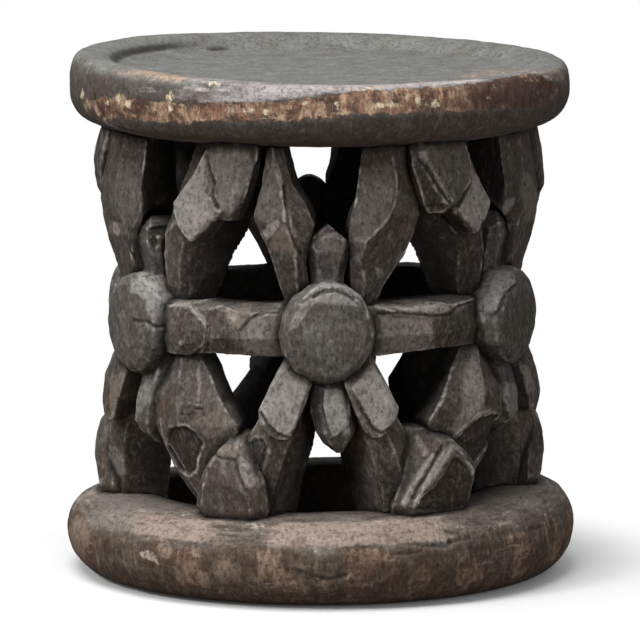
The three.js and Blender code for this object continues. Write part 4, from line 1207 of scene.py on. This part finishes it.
# %% [markdown]
# ## Rubbed-through edges and the pale crest
# On the seat's edge, years of hands and sitting wore the dark skin off. What shows is fresh wood:
# near white where it broke last, tan round that, and orange to red-brown where it has darkened
# again. The ring has the same, but duller. Above that, the seat's crest is pale with wear and
# painted highlight, and the ring's shoulder with painted highlight. The masks come with the mesh,
# and streaks and noise at several sizes break their outlines and pick among the colours.

# %% Rubbed edge and pale crest of the seat and of the ring
colours = [(label, WHITE) for label in ("Under", "White", "Tan", "Orange", "Red", "Crest")]
tree, given, gives = group("rubbed_through", colours, ["Colour"])
rubbed_and_crest_group = tree
lines = use(tree, streaks_group)
fine = noise_node(tree, position(tree, (1, 1, 0.45)), 110, 6, 0.75)
broad = noise_node(tree, position(tree), 62, 5, 0.7)
# The pale crest, partly wear and partly painted highlight, with bright streaks and dull gaps along
# it.
on_crest = math_node(tree, "ADD", mask(tree, "crest"), times(tree, lines["Level"], 2.2))
on_crest = times(tree, ramp(tree, on_crest, 1.45, 2.0), ramp(tree, mask(tree, "crest"), 0, 0.3))
colour = blend(tree, on_crest, given["Under"], given["Crest"])
# Painted highlight: bright streaks along the crest.
bright = times(tree, ramp(tree, lines["Level"], 0.53, 0.68), mask(tree, "crest"))
colour = blend(tree, times(tree, bright, 0.55), colour, given["White"])
dull = greater(tree, ramp(tree, broad, 0.5, 0.35), ramp(tree, lines["Level"], 0.46, 0.34))
dull = times(tree, dull, mask(tree, "crest"))
colour = blend(tree, times(tree, dull, 0.5), colour, given["Red"])
# The fresh wood below it.
fresh = blend(tree, ramp(tree, broad, 0.42, 0.56), given["Red"], given["Orange"])
upright = math_node(tree, "ADD", lines["Upright"], times(tree, broad, 0.7))
fresh = blend(tree, ramp(tree, upright, 0.84, 0.98), fresh, given["Tan"])
chipped = times(tree, ramp(tree, lines["Level"], 0.56, 0.66), 0.5)
fresh = blend(tree, chipped, fresh, given["White"])
fresh = blend(tree, mask(tree, "red"), fresh, given["Red"])
dark = ramp(tree, noise_node(tree, position(tree), 170, 5, 0.75), 0.52, 0.64)
fresh = blend(tree, times(tree, dark, 0.75), fresh, given["Red"])
rub = math_node(tree, "ADD", mask(tree, "rub"), times(tree, fine, 0.8))
colour = blend(tree, ramp(tree, rub, 0.68, 0.92), colour, fresh)
# Warm patches and near-white spots, with ragged outlines.
chips = noise_node(tree, position(tree, (1, 1, 0.8)), 150, 6, 0.8)
ragged = math_node(tree, "SUBTRACT", times(tree, chips, 3.4), 1.7)
patch = ("warm", 0.35, 0.8, 0.85, "Tan")
spot = ("spot", 0.5, 0.95, 1, "White")
for name, low, high, amount, label in (patch, spot):
    shown = ramp(tree, math_node(tree, "ADD", mask(tree, name), ragged), low, high)
    shown = times(tree, shown, ramp(tree, mask(tree, name), 0, 0.2))
    colour = blend(tree, times(tree, shown, amount), colour, given[label])
tree.links.new(colour, gives["Colour"])
print("the rubbed edge takes", len(tree.nodes), "nodes")

# %% [markdown]
# ## The woods
# One wood, four finishes. Each is the same chain of masks over its own colours: dark and middle
# tone by the fibres, brown, olive and pale patches, a tone for each facet, dust on what faces up,
# the marks with their painted light and painted shade, pale wear on arrises, and dirt and painted
# shade in creases and inside the cage. The seat and the ring add the rubbed edge and the pale
# crest with its painted highlight, and the ring also shows streaks.


# %% Wood maker
def wood(name, tones, fibre, worn, dusty=0.5, rubbed=None, streaky=0):
    stuff = bpy.data.materials.new(name)
    stuff.use_nodes = True
    tree = stuff.node_tree
    shader = tree.nodes["Principled BSDF"]
    grain = use(tree, fibres, Contrast=fibre)
    spots = use(tree, spots_group)
    colour = blend(tree, grain["Mask"], tones["dark"], tones["middle"])
    colour = blend(tree, use(tree, mottle)["Mask"], colour, tones["brown"])
    colour = blend(tree, spots["Blotch"], colour, tones["dark"])
    olive = use(tree, mottle, Scale=43, Low=0.52, High=0.66)["Mask"]
    colour = blend(tree, times(tree, olive, 0.5), colour, tones["olive"])
    colour = blend(tree, spots["Cloud"], colour, tones["light"])
    colour = blend(tree, times(tree, mask(tree, "tone"), 0.42), colour, tones["facet"])
    if streaky:
        lines = use(tree, streaks_group)
        upright = ramp(tree, lines["Upright"], 0.54, 0.68)
        colour = blend(tree, times(tree, upright, streaky), colour, tones["warm"])
        gaps = ramp(tree, lines["Upright"], 0.48, 0.34)
        colour = blend(tree, times(tree, gaps, streaky), colour, tones["dark"])
    colour = blend(tree, use(tree, dust, Amount=dusty)["Mask"], colour, tones["top"])
    if streaky:
        furrows = ramp(tree, lines["Level"], 0.5, 0.36)
        colour = blend(tree, times(tree, furrows, 0.8), colour, tones["dark"])
        combed = ramp(tree, lines["Level"], 0.56, 0.7)
        colour = blend(tree, times(tree, combed, 0.45), colour, tones["light"])
    places = use(tree, marked)
    # Painted light from the lit marks, then the wood's own warm tone, then stains with painted
    # shade.
    colour = blend(tree, places["Lit"], colour, tones["light"])
    colour = blend(tree, places["Warm"], colour, tones["warm"])
    colour = blend(tree, places["Stained"], colour, tones["stain"])
    wear_mask = greater(tree, use(tree, wear, Amount=worn)["Mask"], places["Worn"])
    colour = blend(tree, wear_mask, colour, tones["pale"])
    if rubbed:
        colour = use(tree, rubbed_and_crest_group, Under=colour, **rubbed)["Colour"]
    # Dirt and painted shade: creases, hollows and the inside go near black.
    dirt_and_shade_mask = use(tree, dirt_and_shade, Amount=0.95)["Mask"]
    colour = blend(tree, dirt_and_shade_mask, colour, tones["grime_and_shade"])
    flecks = times(tree, spots["Fleck"], math_node(tree, "SUBTRACT", 1, dirt_and_shade_mask))
    colour = blend(tree, flecks, colour, tones["light"])
    specks = greater(tree, spots["Speck"], times(tree, grain["Cracks"], 0.3))
    colour = blend(tree, specks, colour, tones["grime_and_shade"])
    tree.links.new(colour, shader.inputs["Base Color"])
    roughness = math_node(tree, "SUBTRACT", ROUGH, times(tree, wear_mask, 0.12))
    tree.links.new(roughness, shader.inputs["Roughness"])
    shader.inputs["Specular IOR Level"].default_value = 0.3
    relief = add(tree, "Bump")
    relief.inputs["Strength"].default_value = 0.5
    relief.inputs["Distance"].default_value = 0.9 * MM
    pits = times(tree, spots["Pits"], 0.9)
    height = math_node(tree, "ADD", times(tree, grain["Height"], 0.5), pits)
    tree.links.new(height, relief.inputs["Height"])
    tree.links.new(relief.outputs[0], shader.inputs["Normal"])
    return stuff


# %% Four finishes
ROUGH = 0.78
WARM_MEMBER = (0.30, 0.238, 0.195)
NEAR_BLACK = (0.008, 0.007, 0.006)
# In each set, the light tone also colours the painted light of the lit marks, the stain tone colours
# stains and painted shade, and the grime tone colours dirt and the painted shade of creases and the
# inside.
CAGE_TONES = dict(
    olive=(0.115, 0.106, 0.080), dark=(0.038, 0.028, 0.020), middle=(0.152, 0.127, 0.103),
    brown=(0.112, 0.068, 0.041), facet=(0.175, 0.16, 0.146), stain=(0.020, 0.014, 0.009),
    light=(0.42, 0.388, 0.35), warm=WARM_MEMBER, pale=(0.50, 0.46, 0.42), top=(0.24, 0.228, 0.21),
    grime_and_shade=NEAR_BLACK)
BOSS_TONES = dict(
    olive=(0.15, 0.143, 0.118), dark=(0.055, 0.048, 0.041), middle=(0.160, 0.148, 0.136),
    brown=(0.105, 0.080, 0.062), facet=(0.17, 0.162, 0.152), stain=(0.024, 0.016, 0.011),
    light=(0.40, 0.378, 0.35), warm=WARM_MEMBER, pale=(0.48, 0.46, 0.43), top=(0.23, 0.22, 0.205),
    grime_and_shade=NEAR_BLACK)
ROUND_STAIN_AND_SHADE, ROUND_LIGHT, ROUND_WARM = (0.07, 0.045, 0.032), (0.3, 0.27, 0.24), (0.35, 0.27, 0.22)
BASE_TONES = dict(
    olive=(0.17, 0.15, 0.12), dark=(0.078, 0.051, 0.034), middle=(0.20, 0.147, 0.108),
    brown=(0.115, 0.063, 0.036), facet=(0.20, 0.150, 0.118), stain=ROUND_STAIN_AND_SHADE, light=ROUND_LIGHT,
    warm=ROUND_WARM, pale=(0.45, 0.38, 0.34), top=(0.22, 0.205, 0.18), grime_and_shade=(0.016, 0.011, 0.008))
SEAT_TONES = dict(
    olive=(0.125, 0.12, 0.10), dark=(0.075, 0.066, 0.058), middle=(0.135, 0.122, 0.110),
    brown=(0.085, 0.062, 0.050), facet=(0.135, 0.122, 0.110), stain=ROUND_STAIN_AND_SHADE, light=ROUND_LIGHT,
    warm=ROUND_WARM, pale=(0.40, 0.37, 0.35), top=(0.235, 0.240, 0.225),
    grime_and_shade=(0.022, 0.019, 0.016))
BASE_RUBBED_AND_CREST = dict(White=(0.55, 0.46, 0.38), Tan=(0.33, 0.235, 0.175), Orange=(0.20, 0.125, 0.085),
                   Red=(0.11, 0.064, 0.045), Crest=(0.38, 0.295, 0.25))
SEAT_RUBBED_AND_CREST = dict(White=(0.82, 0.68, 0.47), Tan=(0.50, 0.34, 0.22), Orange=(0.29, 0.155, 0.098),
                   Red=(0.10, 0.054, 0.040), Crest=(0.42, 0.39, 0.39))
cage_wood = wood("cage_wood", CAGE_TONES, fibre=1, worn=1.2)
boss_wood = wood("boss_wood", BOSS_TONES, fibre=0.85, worn=1.2)
base_wood = wood("base_wood", BASE_TONES, fibre=0.8, worn=0.6, dusty=0.85, rubbed=BASE_RUBBED_AND_CREST,
                 streaky=0.5)
seat_wood = wood("seat_wood", SEAT_TONES, fibre=0.6, worn=0.5, dusty=0.95, rubbed=SEAT_RUBBED_AND_CREST)
print("woods:", [material.name for material in bpy.data.materials])

# %% [markdown]
# ## Carve every member of the cage
# Each member is remeshed and carved in turn with its own seed, so that no two cuts repeat. The
# upper legs are smoothed where they bend, and the three heads at the front get four flat cuts: two
# slopes that meet in a point, the face and the brow. Then come the knife cuts, the scoops, the
# named marks and the wear. Members at the back have coarser faces, as they show less.

# %% Dress a member
pieces = {}


def dress(name, mesh, material):
    piece = bpy.data.objects.new("carved_" + name, mesh)
    scene.collection.objects.link(piece)
    mesh.materials.append(material)
    mesh.shade_smooth()
    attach(piece, "root")
    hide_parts(name)
    pieces[name] = piece
    return piece


# %% Cage
FRONT_VOXEL, BACK_VOXEL = 1.2 * MM, 1.7 * MM
SEAM_CLOSED = 0.8 * MM
LEG_BEND = 302 * MM
BEND_ROUNDS = 14
HEADS_CUT = ("spider_1", "spider_2", "spider_6")
HEAD_LEVEL = 290
# How far each cut reaches in mm, and its three corners: turn, height and radius.
HEAD_CUTS = [
    (40, (-6, 283, 172), (1, 296.5, 172), (1, 296.5, 150)),
    (40, (1, 296.5, 172), (7.5, 280.5, 172), (7.5, 280.5, 150)),
    (16, (-4, 287, 166), (-4, 266, 168), (5, 266, 168)),
    (16, (-4, 297, 157), (-4, 287, 166), (5, 287, 166))]
# How many knife cuts a boss and a leg get, and how deep they go.
BOSS_CUTS, LEG_CUTS = (8, 0.8 * MM), (12, 1.3 * MM)
WAVE, SCOOP_DEPTH, SCOOP_SIZE = 0.3 * MM, 0.7 * MM, 15 * MM
# The least painted shade on each kind of member: the whole member is darkened, the upper legs most.
LEAST_PAINTED_SHADE = {"upper_leg": 0.35, "lower_leg": 0.15, "knee": 0.15, "top_block": 0.15}


def ease_bend(mesh, places):
    edges = edges_of(mesh)
    bend = smoothstep(14 * MM, 6 * MM, np.abs(places[:, 2] - LEG_BEND))[:, None]
    for _ in range(BEND_ROUNDS):
        places += bend * (neighbour_mean(places, edges) - places)
    put_places(mesh, places)


def cut_head(places, middle):
    drop = set_off_level(middle, HEAD_LEVEL)
    for reach, *corners in HEAD_CUTS:
        corners = [(turn + middle, height + drop, radius) for turn, height, radius in corners]
        cut_plane(places, corners, reach * MM)


cage_names = [name for name in sorted(nodes) if name not in ("seat", "base_ring")]
for number, name in enumerate(cage_names):
    low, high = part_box(name)
    voxel = FRONT_VOXEL if low.y + high.y < 0 else BACK_VOXEL
    mesh = remeshed(name, voxel, SEAM_CLOSED, 1)
    boss = name.startswith("spider")
    places = places_of(mesh)
    if name.startswith("upper_leg"):
        ease_bend(mesh, places)
    if name in HEADS_CUT:
        cut_head(places, 60 * (int(name[-1]) - 1))
    cuts, depth = BOSS_CUTS if boss else LEG_CUTS
    tone = knife_cuts(places, normals_of(mesh), number, cuts, depth)
    put_places(mesh, places)
    places = scooped(places, normals_of(mesh), WAVE, SCOOP_DEPTH, SCOOP_SIZE, number * 17)
    put_places(mesh, places)
    places, masks = put_marks(places_of(mesh), normals_of(mesh), MEMBER_MARKS.get(name, []))
    put_places(mesh, places)
    # Painted shade: each kind of member is darkened at least this much.
    for kind, least in LEAST_PAINTED_SHADE.items():
        if name.startswith(kind):
            masks["stain"] = np.maximum(masks["stain"], least)
    measure_wear(mesh, voxel)
    for label, values in {"tone": tone, **masks}.items():
        put_mask(mesh, label, values)
    dress(name, mesh, boss_wood if boss else cage_wood)
print("cage points:", sum(len(piece.data.vertices) for piece in pieces.values()))

# %% [markdown]
# ## The seat and the ring, turned in fine rows
# The seat and the ring are round, so their skins are turned: one profile, smoothed and cut into
# even steps, is carried round the axis in fine rows. That keeps the rows along the rim, where the
# wear runs, which a remesh would not. The carver set the stool a little off level: the seat's rim
# tilts, and the ring's top falls to the back, where the cage stands on it.

# %% Turning helpers
def smoothed(points, closed):
    for _ in range(2):
        after = np.roll(points, -1, axis=0)
        near, far = 0.75 * points + 0.25 * after, 0.25 * points + 0.75 * after
        cut = np.stack([near, far], axis=1).reshape(-1, 2)
        points = cut if closed else np.vstack([points[:1], cut[:-2], points[-1:]])
    return points


def even_steps(points, step):
    lengths = np.hypot(*np.diff(points, axis=0).T)
    along = np.concatenate([[0], np.cumsum(lengths)])
    wanted = np.linspace(0, along[-1], max(3, round(along[-1] / step)))
    return np.stack([np.interp(wanted, along, points[:, axis]) for axis in (0, 1)], axis=1)


def turned(name, profile, rows, step, closed):
    points = smoothed(np.array(profile, float), closed)
    if closed:
        points = np.vstack([points, points[:1]])
    points = even_steps(points, step)
    if closed:
        points = points[:-1]
    turns = np.linspace(0, 2 * np.pi, rows, endpoint=False)
    radius, height = points[:, :1], points[:, 1:]
    places = np.stack([radius * np.sin(turns), -radius * np.cos(turns), height + 0 * turns], axis=2)
    count = len(points)
    ring = np.arange(count if closed else count - 1)[:, None] * rows
    above = (ring + rows) % (count * rows)
    here, beside = np.arange(rows), (np.arange(rows) + 1) % rows
    quads = np.stack([ring + here, ring + beside, above + beside, above + here], axis=2)
    faces = quads.reshape(-1, 4).tolist()
    if not closed:
        faces.append(np.arange(rows)[::-1].tolist())
        faces.append((np.arange(rows) + (count - 1) * rows).tolist())
    mesh = bpy.data.meshes.new(name)
    mesh.from_pydata(places.reshape(-1, 3), [], faces)
    mesh.update()
    return mesh


def set_by_hand(places):
    x, y, z = places.T
    over_foot = np.clip(z / (FOOT_TOP * MM), 0, 1)
    under_seat = np.clip((SEAT_LEVEL * MM - z) / (LEVEL_SPAN * MM), 0, 1)
    off_level = RISE_TO_THE_RIGHT * x - FALL_TO_THE_BACK * np.maximum(0, y)
    places[:, 2] += over_foot * under_seat * off_level


def round_the_axis(turn, table):
    turns, *columns = zip(*table)
    return [np.interp(turn, turns, column, period=360) for column in columns]


# Points in each row, the step from row to row, and the step that wear is measured against.
ROWS = 840
ROW_STEP = 1.6 * MM
WEAR_STEP = 1.9 * MM
print(ROWS, "points round the axis in each row")


# %% [markdown]
# ## The seat
# A thick disc with a rolled rim. The rim's crest waves up and down as the carver left it, in the
# same way as the frame's own rim, and a collar fits it to the cage.

# %% Seat profile
SEAT_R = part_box("seat")[1].x
SEAT_UNDER = 360 * MM
SEAT_TOP = SEAT_UNDER + 50 * MM
COLLAR = 3.5 * MM
RIM_IN = SEAT_R - 24 * MM
RIM_TILT, RIM_WAVE = 7 * MM, 3 * MM
WALL_R = 168 * MM
seat_profile = [
    (3 * MM, SEAT_UNDER - COLLAR), (WALL_R - 4 * MM, SEAT_UNDER - COLLAR),
    (WALL_R + 3 * MM, SEAT_UNDER), (SEAT_R - 17 * MM, SEAT_UNDER + 2 * MM),
    (SEAT_R - 6 * MM, SEAT_UNDER + 8 * MM), (SEAT_R - 0.5 * MM, SEAT_UNDER + 20 * MM),
    (SEAT_R, SEAT_UNDER + 30 * MM), (SEAT_R - 1.5 * MM, SEAT_TOP - 9 * MM),
    (SEAT_R - 5 * MM, SEAT_TOP - 2 * MM), (SEAT_R - 11 * MM, SEAT_TOP + 0.8 * MM),
    (RIM_IN, SEAT_TOP + 0.3 * MM), (RIM_IN - 8 * MM, SEAT_TOP - 2.5 * MM),
    (RIM_IN - 15 * MM, SEAT_TOP - 6.6 * MM), (RIM_IN - 21 * MM, SEAT_TOP - 8.3 * MM),
    (RIM_IN - 40 * MM, SEAT_TOP - 8.8 * MM), (90 * MM, SEAT_TOP - 9 * MM),
    (3 * MM, SEAT_TOP - 9 * MM)]
mesh = turned("seat_carved", seat_profile, ROWS, ROW_STEP, False)
places = places_of(mesh)
radius, turn = round_axis(places)
x, y, z = places.T
upper = smoothstep(SEAT_UNDER + 17 * MM, SEAT_TOP - 9 * MM, z)
upper *= smoothstep(RIM_IN - 40 * MM, RIM_IN, radius)
tilt = RIM_TILT * upper * (y - x) / (2 * SEAT_R) + RIM_WAVE * upper * (x / SEAT_R) ** 2
flat_places = np.stack([x, y, 0 * z], axis=1)
wobble = 1.0 * MM * swell(flat_places, 120 * MM, 51) + 0.6 * MM * swell(flat_places, 45 * MM, 52)
rim_only = smoothstep(RIM_IN - 30 * MM, RIM_IN - 5 * MM, radius)
places[:, 2] += tilt + rim_only * 0.5 * wobble * upper
height = places[:, 2]
print("seat:", len(places), "points, tilted by up to", round(abs(tilt).max() / MM, 1), "mm")

# %% [markdown]
# ## The edge that is rubbed through
# A band along the seat's edge has lost its dark skin. Its middle height and half its height change
# round the seat. The wood is a little eaten away there, most of all at the right, where the edge
# has worn to red-brown wood.

# %% Rubbed band
# Turn in degrees, middle height in mm and half height in mm. Below zero, there is no band.
RUBBED_BAND = [
    (-170, 397, 4), (-120, 398, 2), (-70, 386, -2), (-65, 383, 0), (-63, 382, 8), (-43, 386, 8),
    (-30, 386, 6.5), (-17, 387, 7), (-6, 391.5, 7.5), (5, 394, 8), (16, 395.5, 8.5),
    (27, 395.5, 8.5), (36, 394.5, 10), (45, 396, 12), (57, 394, 13), (62, 393, 9), (70, 394, -2),
    (120, 399, 2), (150, 396, 6)]
middle, half = round_the_axis(turn, RUBBED_BAND)
edge_noise = 2.4 * MM * swell(flat_places, 18 * MM, 54) + 1.6 * MM * swell(flat_places, 6 * MM, 55)
edge_noise += 1.2 * MM * swell(flat_places, 2.5 * MM, 61)
off_band = np.abs(height - middle * MM - edge_noise) - half * MM
rub = smoothstep(3.4 * MM, -4 * MM, off_band)
rub *= smoothstep(SEAT_R - 14 * MM, SEAT_R - 7 * MM, radius)
eroded = smoothstep(28, 40, turn) * smoothstep(70, 62, turn)
ragged = swell(places * np.array([1, 1, 0.5]), 4 * MM, 56) + 0.7 * swell(places, 9 * MM, 57)
cut_in = rub * (1.0 * MM + 0.5 * MM * eroded - (0.55 + 0.25 * eroded) * MM * ragged)
places += away_from_axis(turn) * (rim_only * wobble - cut_in)[:, None]
put_places(mesh, places)
print("rubbed through:", round(100 * rub.mean(), 1), "% of the points")

# %% [markdown]
# ## The seat's tool marks and masks
# Its side has shallow adze cuts and, at the left, a crack that runs down from the rubbed edge. Its
# floor is smooth and cool grey, with a short darkened scar at the back left and a groove along the
# foot of the rim at the left, darkened as painted shadow under the rim's inner wall. Its crest is
# pale with wear and painted highlight, and the side under the edge is darkened as painted shade.

# %% Seat cuts and masks
outwards = normals_of(mesh)
fine = 0.2 * MM * swell(places, 7 * MM, 58)
fine += 0.35 * MM * swell(places * np.array([0.35, 1, 1]), 24 * MM, 59)
side_cuts = 0.5 * MM * (scoop(places, 16 * MM, 60) - 0.4)
side_cuts *= smoothstep(SEAT_R - 12 * MM, SEAT_R - 2 * MM, radius)
scar = smoothstep(5, 1.5, np.abs(turn + 150))
scar *= smoothstep(4 * MM, 1 * MM, np.abs(radius - 158 * MM))
# Painted shadow: this groove at the foot of the left inner wall is also darkened, through the crease
# mask.
rim_foot = smoothstep(-150, -130, turn) * smoothstep(-80, -96, turn)
rim_foot *= smoothstep(5 * MM, 1 * MM, np.abs(radius - 164 * MM))
push = fine + side_cuts - 1.2 * MM * scar - 1.0 * MM * rim_foot
places = places + outwards * push[:, None]
places, masks = put_marks(places, outwards, MEMBER_MARKS["seat"], 2)
put_places(mesh, places)
measure_wear(mesh, WEAR_STEP)
# The crest: wear and painted highlight along the rim's top, strongest at the front.
crest = smoothstep(RIM_IN - 6 * MM, RIM_IN + 4 * MM, radius)
crest *= smoothstep(-2 * MM, 3 * MM, height - (middle + half) * MM)
crest *= 0.15 + 0.85 * smoothstep(75, 15, np.abs(turn - 14))
lip_left = smoothstep(5 * MM, 2 * MM, np.abs(radius - 173 * MM))
lip_left *= smoothstep(-76, -66, turn) * smoothstep(-14, -30, turn)
lip_right = smoothstep(10 * MM, 4 * MM, np.abs(radius - 174 * MM))
lip_right *= smoothstep(28, 34, turn) * smoothstep(68, 58, turn)
# Painted shade: the side under the edge is darkened.
underside_shade = 0.45 * smoothstep(SEAT_UNDER + 34 * MM, SEAT_UNDER + 24 * MM, z)
seat_masks = {
    "rub": rub, "red": eroded, "crest": crest, "spot": masks["worn"], "warm": masks["warm"],
    "lit": 0.7 * masks["lit"], "worn": 0.35 * np.maximum(lip_left, lip_right),
    "stain": np.maximum(underside_shade, masks["stain"])}
for label, values in seat_masks.items():
    put_mask(mesh, label, values)
# The scar is darkened; the groove at the rim's foot carries painted shadow.
seat_scar_and_shadow = np.maximum(scar, rim_foot)
dress("seat", mesh, seat_wood)
print("seat masks:", ", ".join(seat_masks))

# %% [markdown]
# ## The ring
# The ring under the cage is a thick roll, reddish and dusty, and open in the middle. It wobbles a
# little as it goes round.

# %% Ring profile
BASE_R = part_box("base_ring")[1].x
BASE_TOP = 68 * MM
HOLE_R = 130 * MM
base_profile = [
    (HOLE_R + 10 * MM, 0), (BASE_R - 28 * MM, 0), (BASE_R - 14 * MM, 4.5 * MM),
    (BASE_R - 3.5 * MM, 17 * MM), (BASE_R + 0.4 * MM, 34 * MM), (BASE_R - 2 * MM, 47 * MM),
    (BASE_R - 8 * MM, 57 * MM), (BASE_R - 18 * MM, 64 * MM), (BASE_R - 30 * MM, 67.5 * MM),
    (HOLE_R + 32 * MM, 68.5 * MM), (HOLE_R + 8 * MM, 68 * MM), (HOLE_R, 63 * MM),
    (HOLE_R - 4 * MM, 34 * MM), (HOLE_R, 7 * MM)]
mesh = turned("ring_carved", base_profile, ROWS, ROW_STEP, True)
places = places_of(mesh)
radius, turn = round_axis(places)
flat_places = np.stack([places[:, 0], places[:, 1], 0 * turn], axis=1)
lifted = smoothstep(0, 25 * MM, places[:, 2])
wobble = 1.4 * MM * swell(flat_places, 110 * MM, 71) + 0.9 * MM * swell(places, 40 * MM, 72)
outside = smoothstep(HOLE_R + 25 * MM, HOLE_R + 45 * MM, radius)
places += away_from_axis(turn) * (outside * wobble - 0.6 * MM * outside)[:, None]
height = places[:, 2].copy()
set_by_hand(places)
put_places(mesh, places)
print("ring:", len(places), "points, wobbling by up to", round(abs(wobble).max() / MM, 1), "mm")

# %% [markdown]
# ## The ring's tool marks and masks
# Its side shows short upright tool marks and a few curved notches, and its top has streaks that run
# round. Its upper shoulder is pale, as a painted highlight along the rounded edge.

# %% Ring cuts and masks
# Notches on the outer side, as turns in degrees and heights in mm.
NOTCHES = (
    [(-6.6, 33), (-4.8, 27), (-0.4, 25.5), (3.2, 27), (6.1, 33)],
    [(-41.5, 40), (-41, 33), (-42, 26)], [(28, 60), (28.3, 48)], [(14, 44), (18, 43.5), (21, 44)])
outwards = normals_of(mesh)
round_wall = np.stack([np.radians(turn) * MEAN_RADIUS, radius, height], axis=1)
upright = swell(round_wall * np.array([1, 0.4, 0.22]), 3.2 * MM, 73)
streaks = swell(round_wall * np.array([0.10, 1, 0.3]), 3.6 * MM, 74)
on_top = smoothstep(BASE_TOP - 8 * MM, BASE_TOP - 2 * MM, height)
rough_cut = 0.32 * MM * upright * (1 - on_top) + 0.4 * MM * streaks * on_top
rough_cut += 0.7 * MM * (scoop(places, 19 * MM, 75) - 0.4) + 0.2 * MM * swell(places, 4 * MM, 76)
off_notches = [off_line(turn, height, line, False) for line in NOTCHES]
notch = smoothstep(1.8 * MM, 0.4 * MM, np.minimum.reduce(off_notches)) * outside
places += outwards * ((rough_cut - 0.9 * MM * notch) * lifted)[:, None]
places, masks = put_marks(places, outwards, MEMBER_MARKS["base_ring"], 3)
put_places(mesh, places)
measure_wear(mesh, WEAR_STEP)
shoulder = smoothstep(47 * MM, 54 * MM, height)
shoulder *= smoothstep(BASE_R - 34 * MM, BASE_R - 20 * MM, radius)
patchy = smoothstep(-0.45, 0.3, swell(flat_places, 60 * MM, 79)) * smoothstep(30, 26, turn)
side = smoothstep(6 * MM, 16 * MM, height) * smoothstep(56 * MM, 44 * MM, height) * outside
# The crest is a painted highlight along the shoulder.
ring_masks = {
    "crest": shoulder * (0.35 + 0.65 * patchy),
    "rub": 0.62 * side * smoothstep(-0.4, 0.5, swell(places, 22 * MM, 77)),
    "red": 0.5 * smoothstep(-0.1, 0.5, swell(places, 30 * MM, 78)),
    "spot": masks["worn"], "warm": masks["warm"], "lit": masks["lit"],
    "stain": np.maximum(0.7 * notch, masks["stain"])}
for label, values in ring_masks.items():
    put_mask(mesh, label, values)
dress("base_ring", mesh, base_wood)
print("ring masks:", ", ".join(ring_masks))

# %% [markdown]
# ## Creases and the painted shade inside
# Dirt gathers where two members meet, and shade falls there. The distance from each point to the
# nearest other member gives that line, darkened for dirt and as painted shade, and the distance
# in from the outer wall gives the painted shade of the inside.

# %% Distance to the nearest other member
graph = bpy.context.evaluated_depsgraph_get()
graph.update()
surfaces = {name: BVHTree.FromObject(piece, graph) for name, piece in pieces.items()}
boxes = {}
for name, piece in pieces.items():
    places = places_of(piece.data)
    boxes[name] = places.min(0), places.max(0)
CREASE_REACH = 9 * MM


def nearest_other(name, places):
    nearest = np.full(len(places), CREASE_REACH)
    for other, (low, high) in boxes.items():
        if other == name:
            continue
        inside_box = (places > low - CREASE_REACH) & (places < high + CREASE_REACH)
        for index in np.flatnonzero(inside_box.all(axis=1)):
            found = surfaces[other].find_nearest(places[index], nearest[index])
            if found[3] is not None:
                nearest[index] = found[3]
    return nearest


# %% Creases
# Painted shade for the dark inside: deep in the cage, on the ring's top under the cage and in its
# hole, and on the sides of members that face along the wall.
def painted_inside_shade(name, places, outwards):
    radius, turn = round_axis(places)
    if name == "seat":
        return 0 * radius
    if name == "base_ring":
        # Painted shade on the ring's top under the cage and in its hole.
        within = 0.96 * (1 - smoothstep(132 * MM, 158 * MM, radius))
        within *= smoothstep(40 * MM, 60 * MM, places[:, 2])
        return np.maximum(within, 0.96 * (radius < 140 * MM))
    # Painted shade deep inside the cage.
    within = 0.93 * (1 - smoothstep(136 * MM, 163 * MM, radius))
    # Painted shade on the sides of the members, in the windows of the cage.
    sideways = smoothstep(0.45, 0.05, (outwards * away_from_axis(turn)).sum(axis=1))
    sideways *= smoothstep(0.75, 0.4, outwards[:, 2])
    return np.maximum(within, 0.72 * sideways)


for name, piece in pieces.items():
    places = places_of(piece.data)
    # The crease mask: dirt and painted shade where two members meet.
    crease = (1 - smoothstep(0.2 * MM, CREASE_REACH, nearest_other(name, places))) ** 1.5
    if name == "seat":
        crease = np.maximum(crease, seat_scar_and_shadow)
    put_mask(piece.data, "crease", crease)
    put_mask(piece.data, "inside", painted_inside_shade(name, places, normals_of(piece.data)))
print("creases measured on", len(pieces), "pieces")
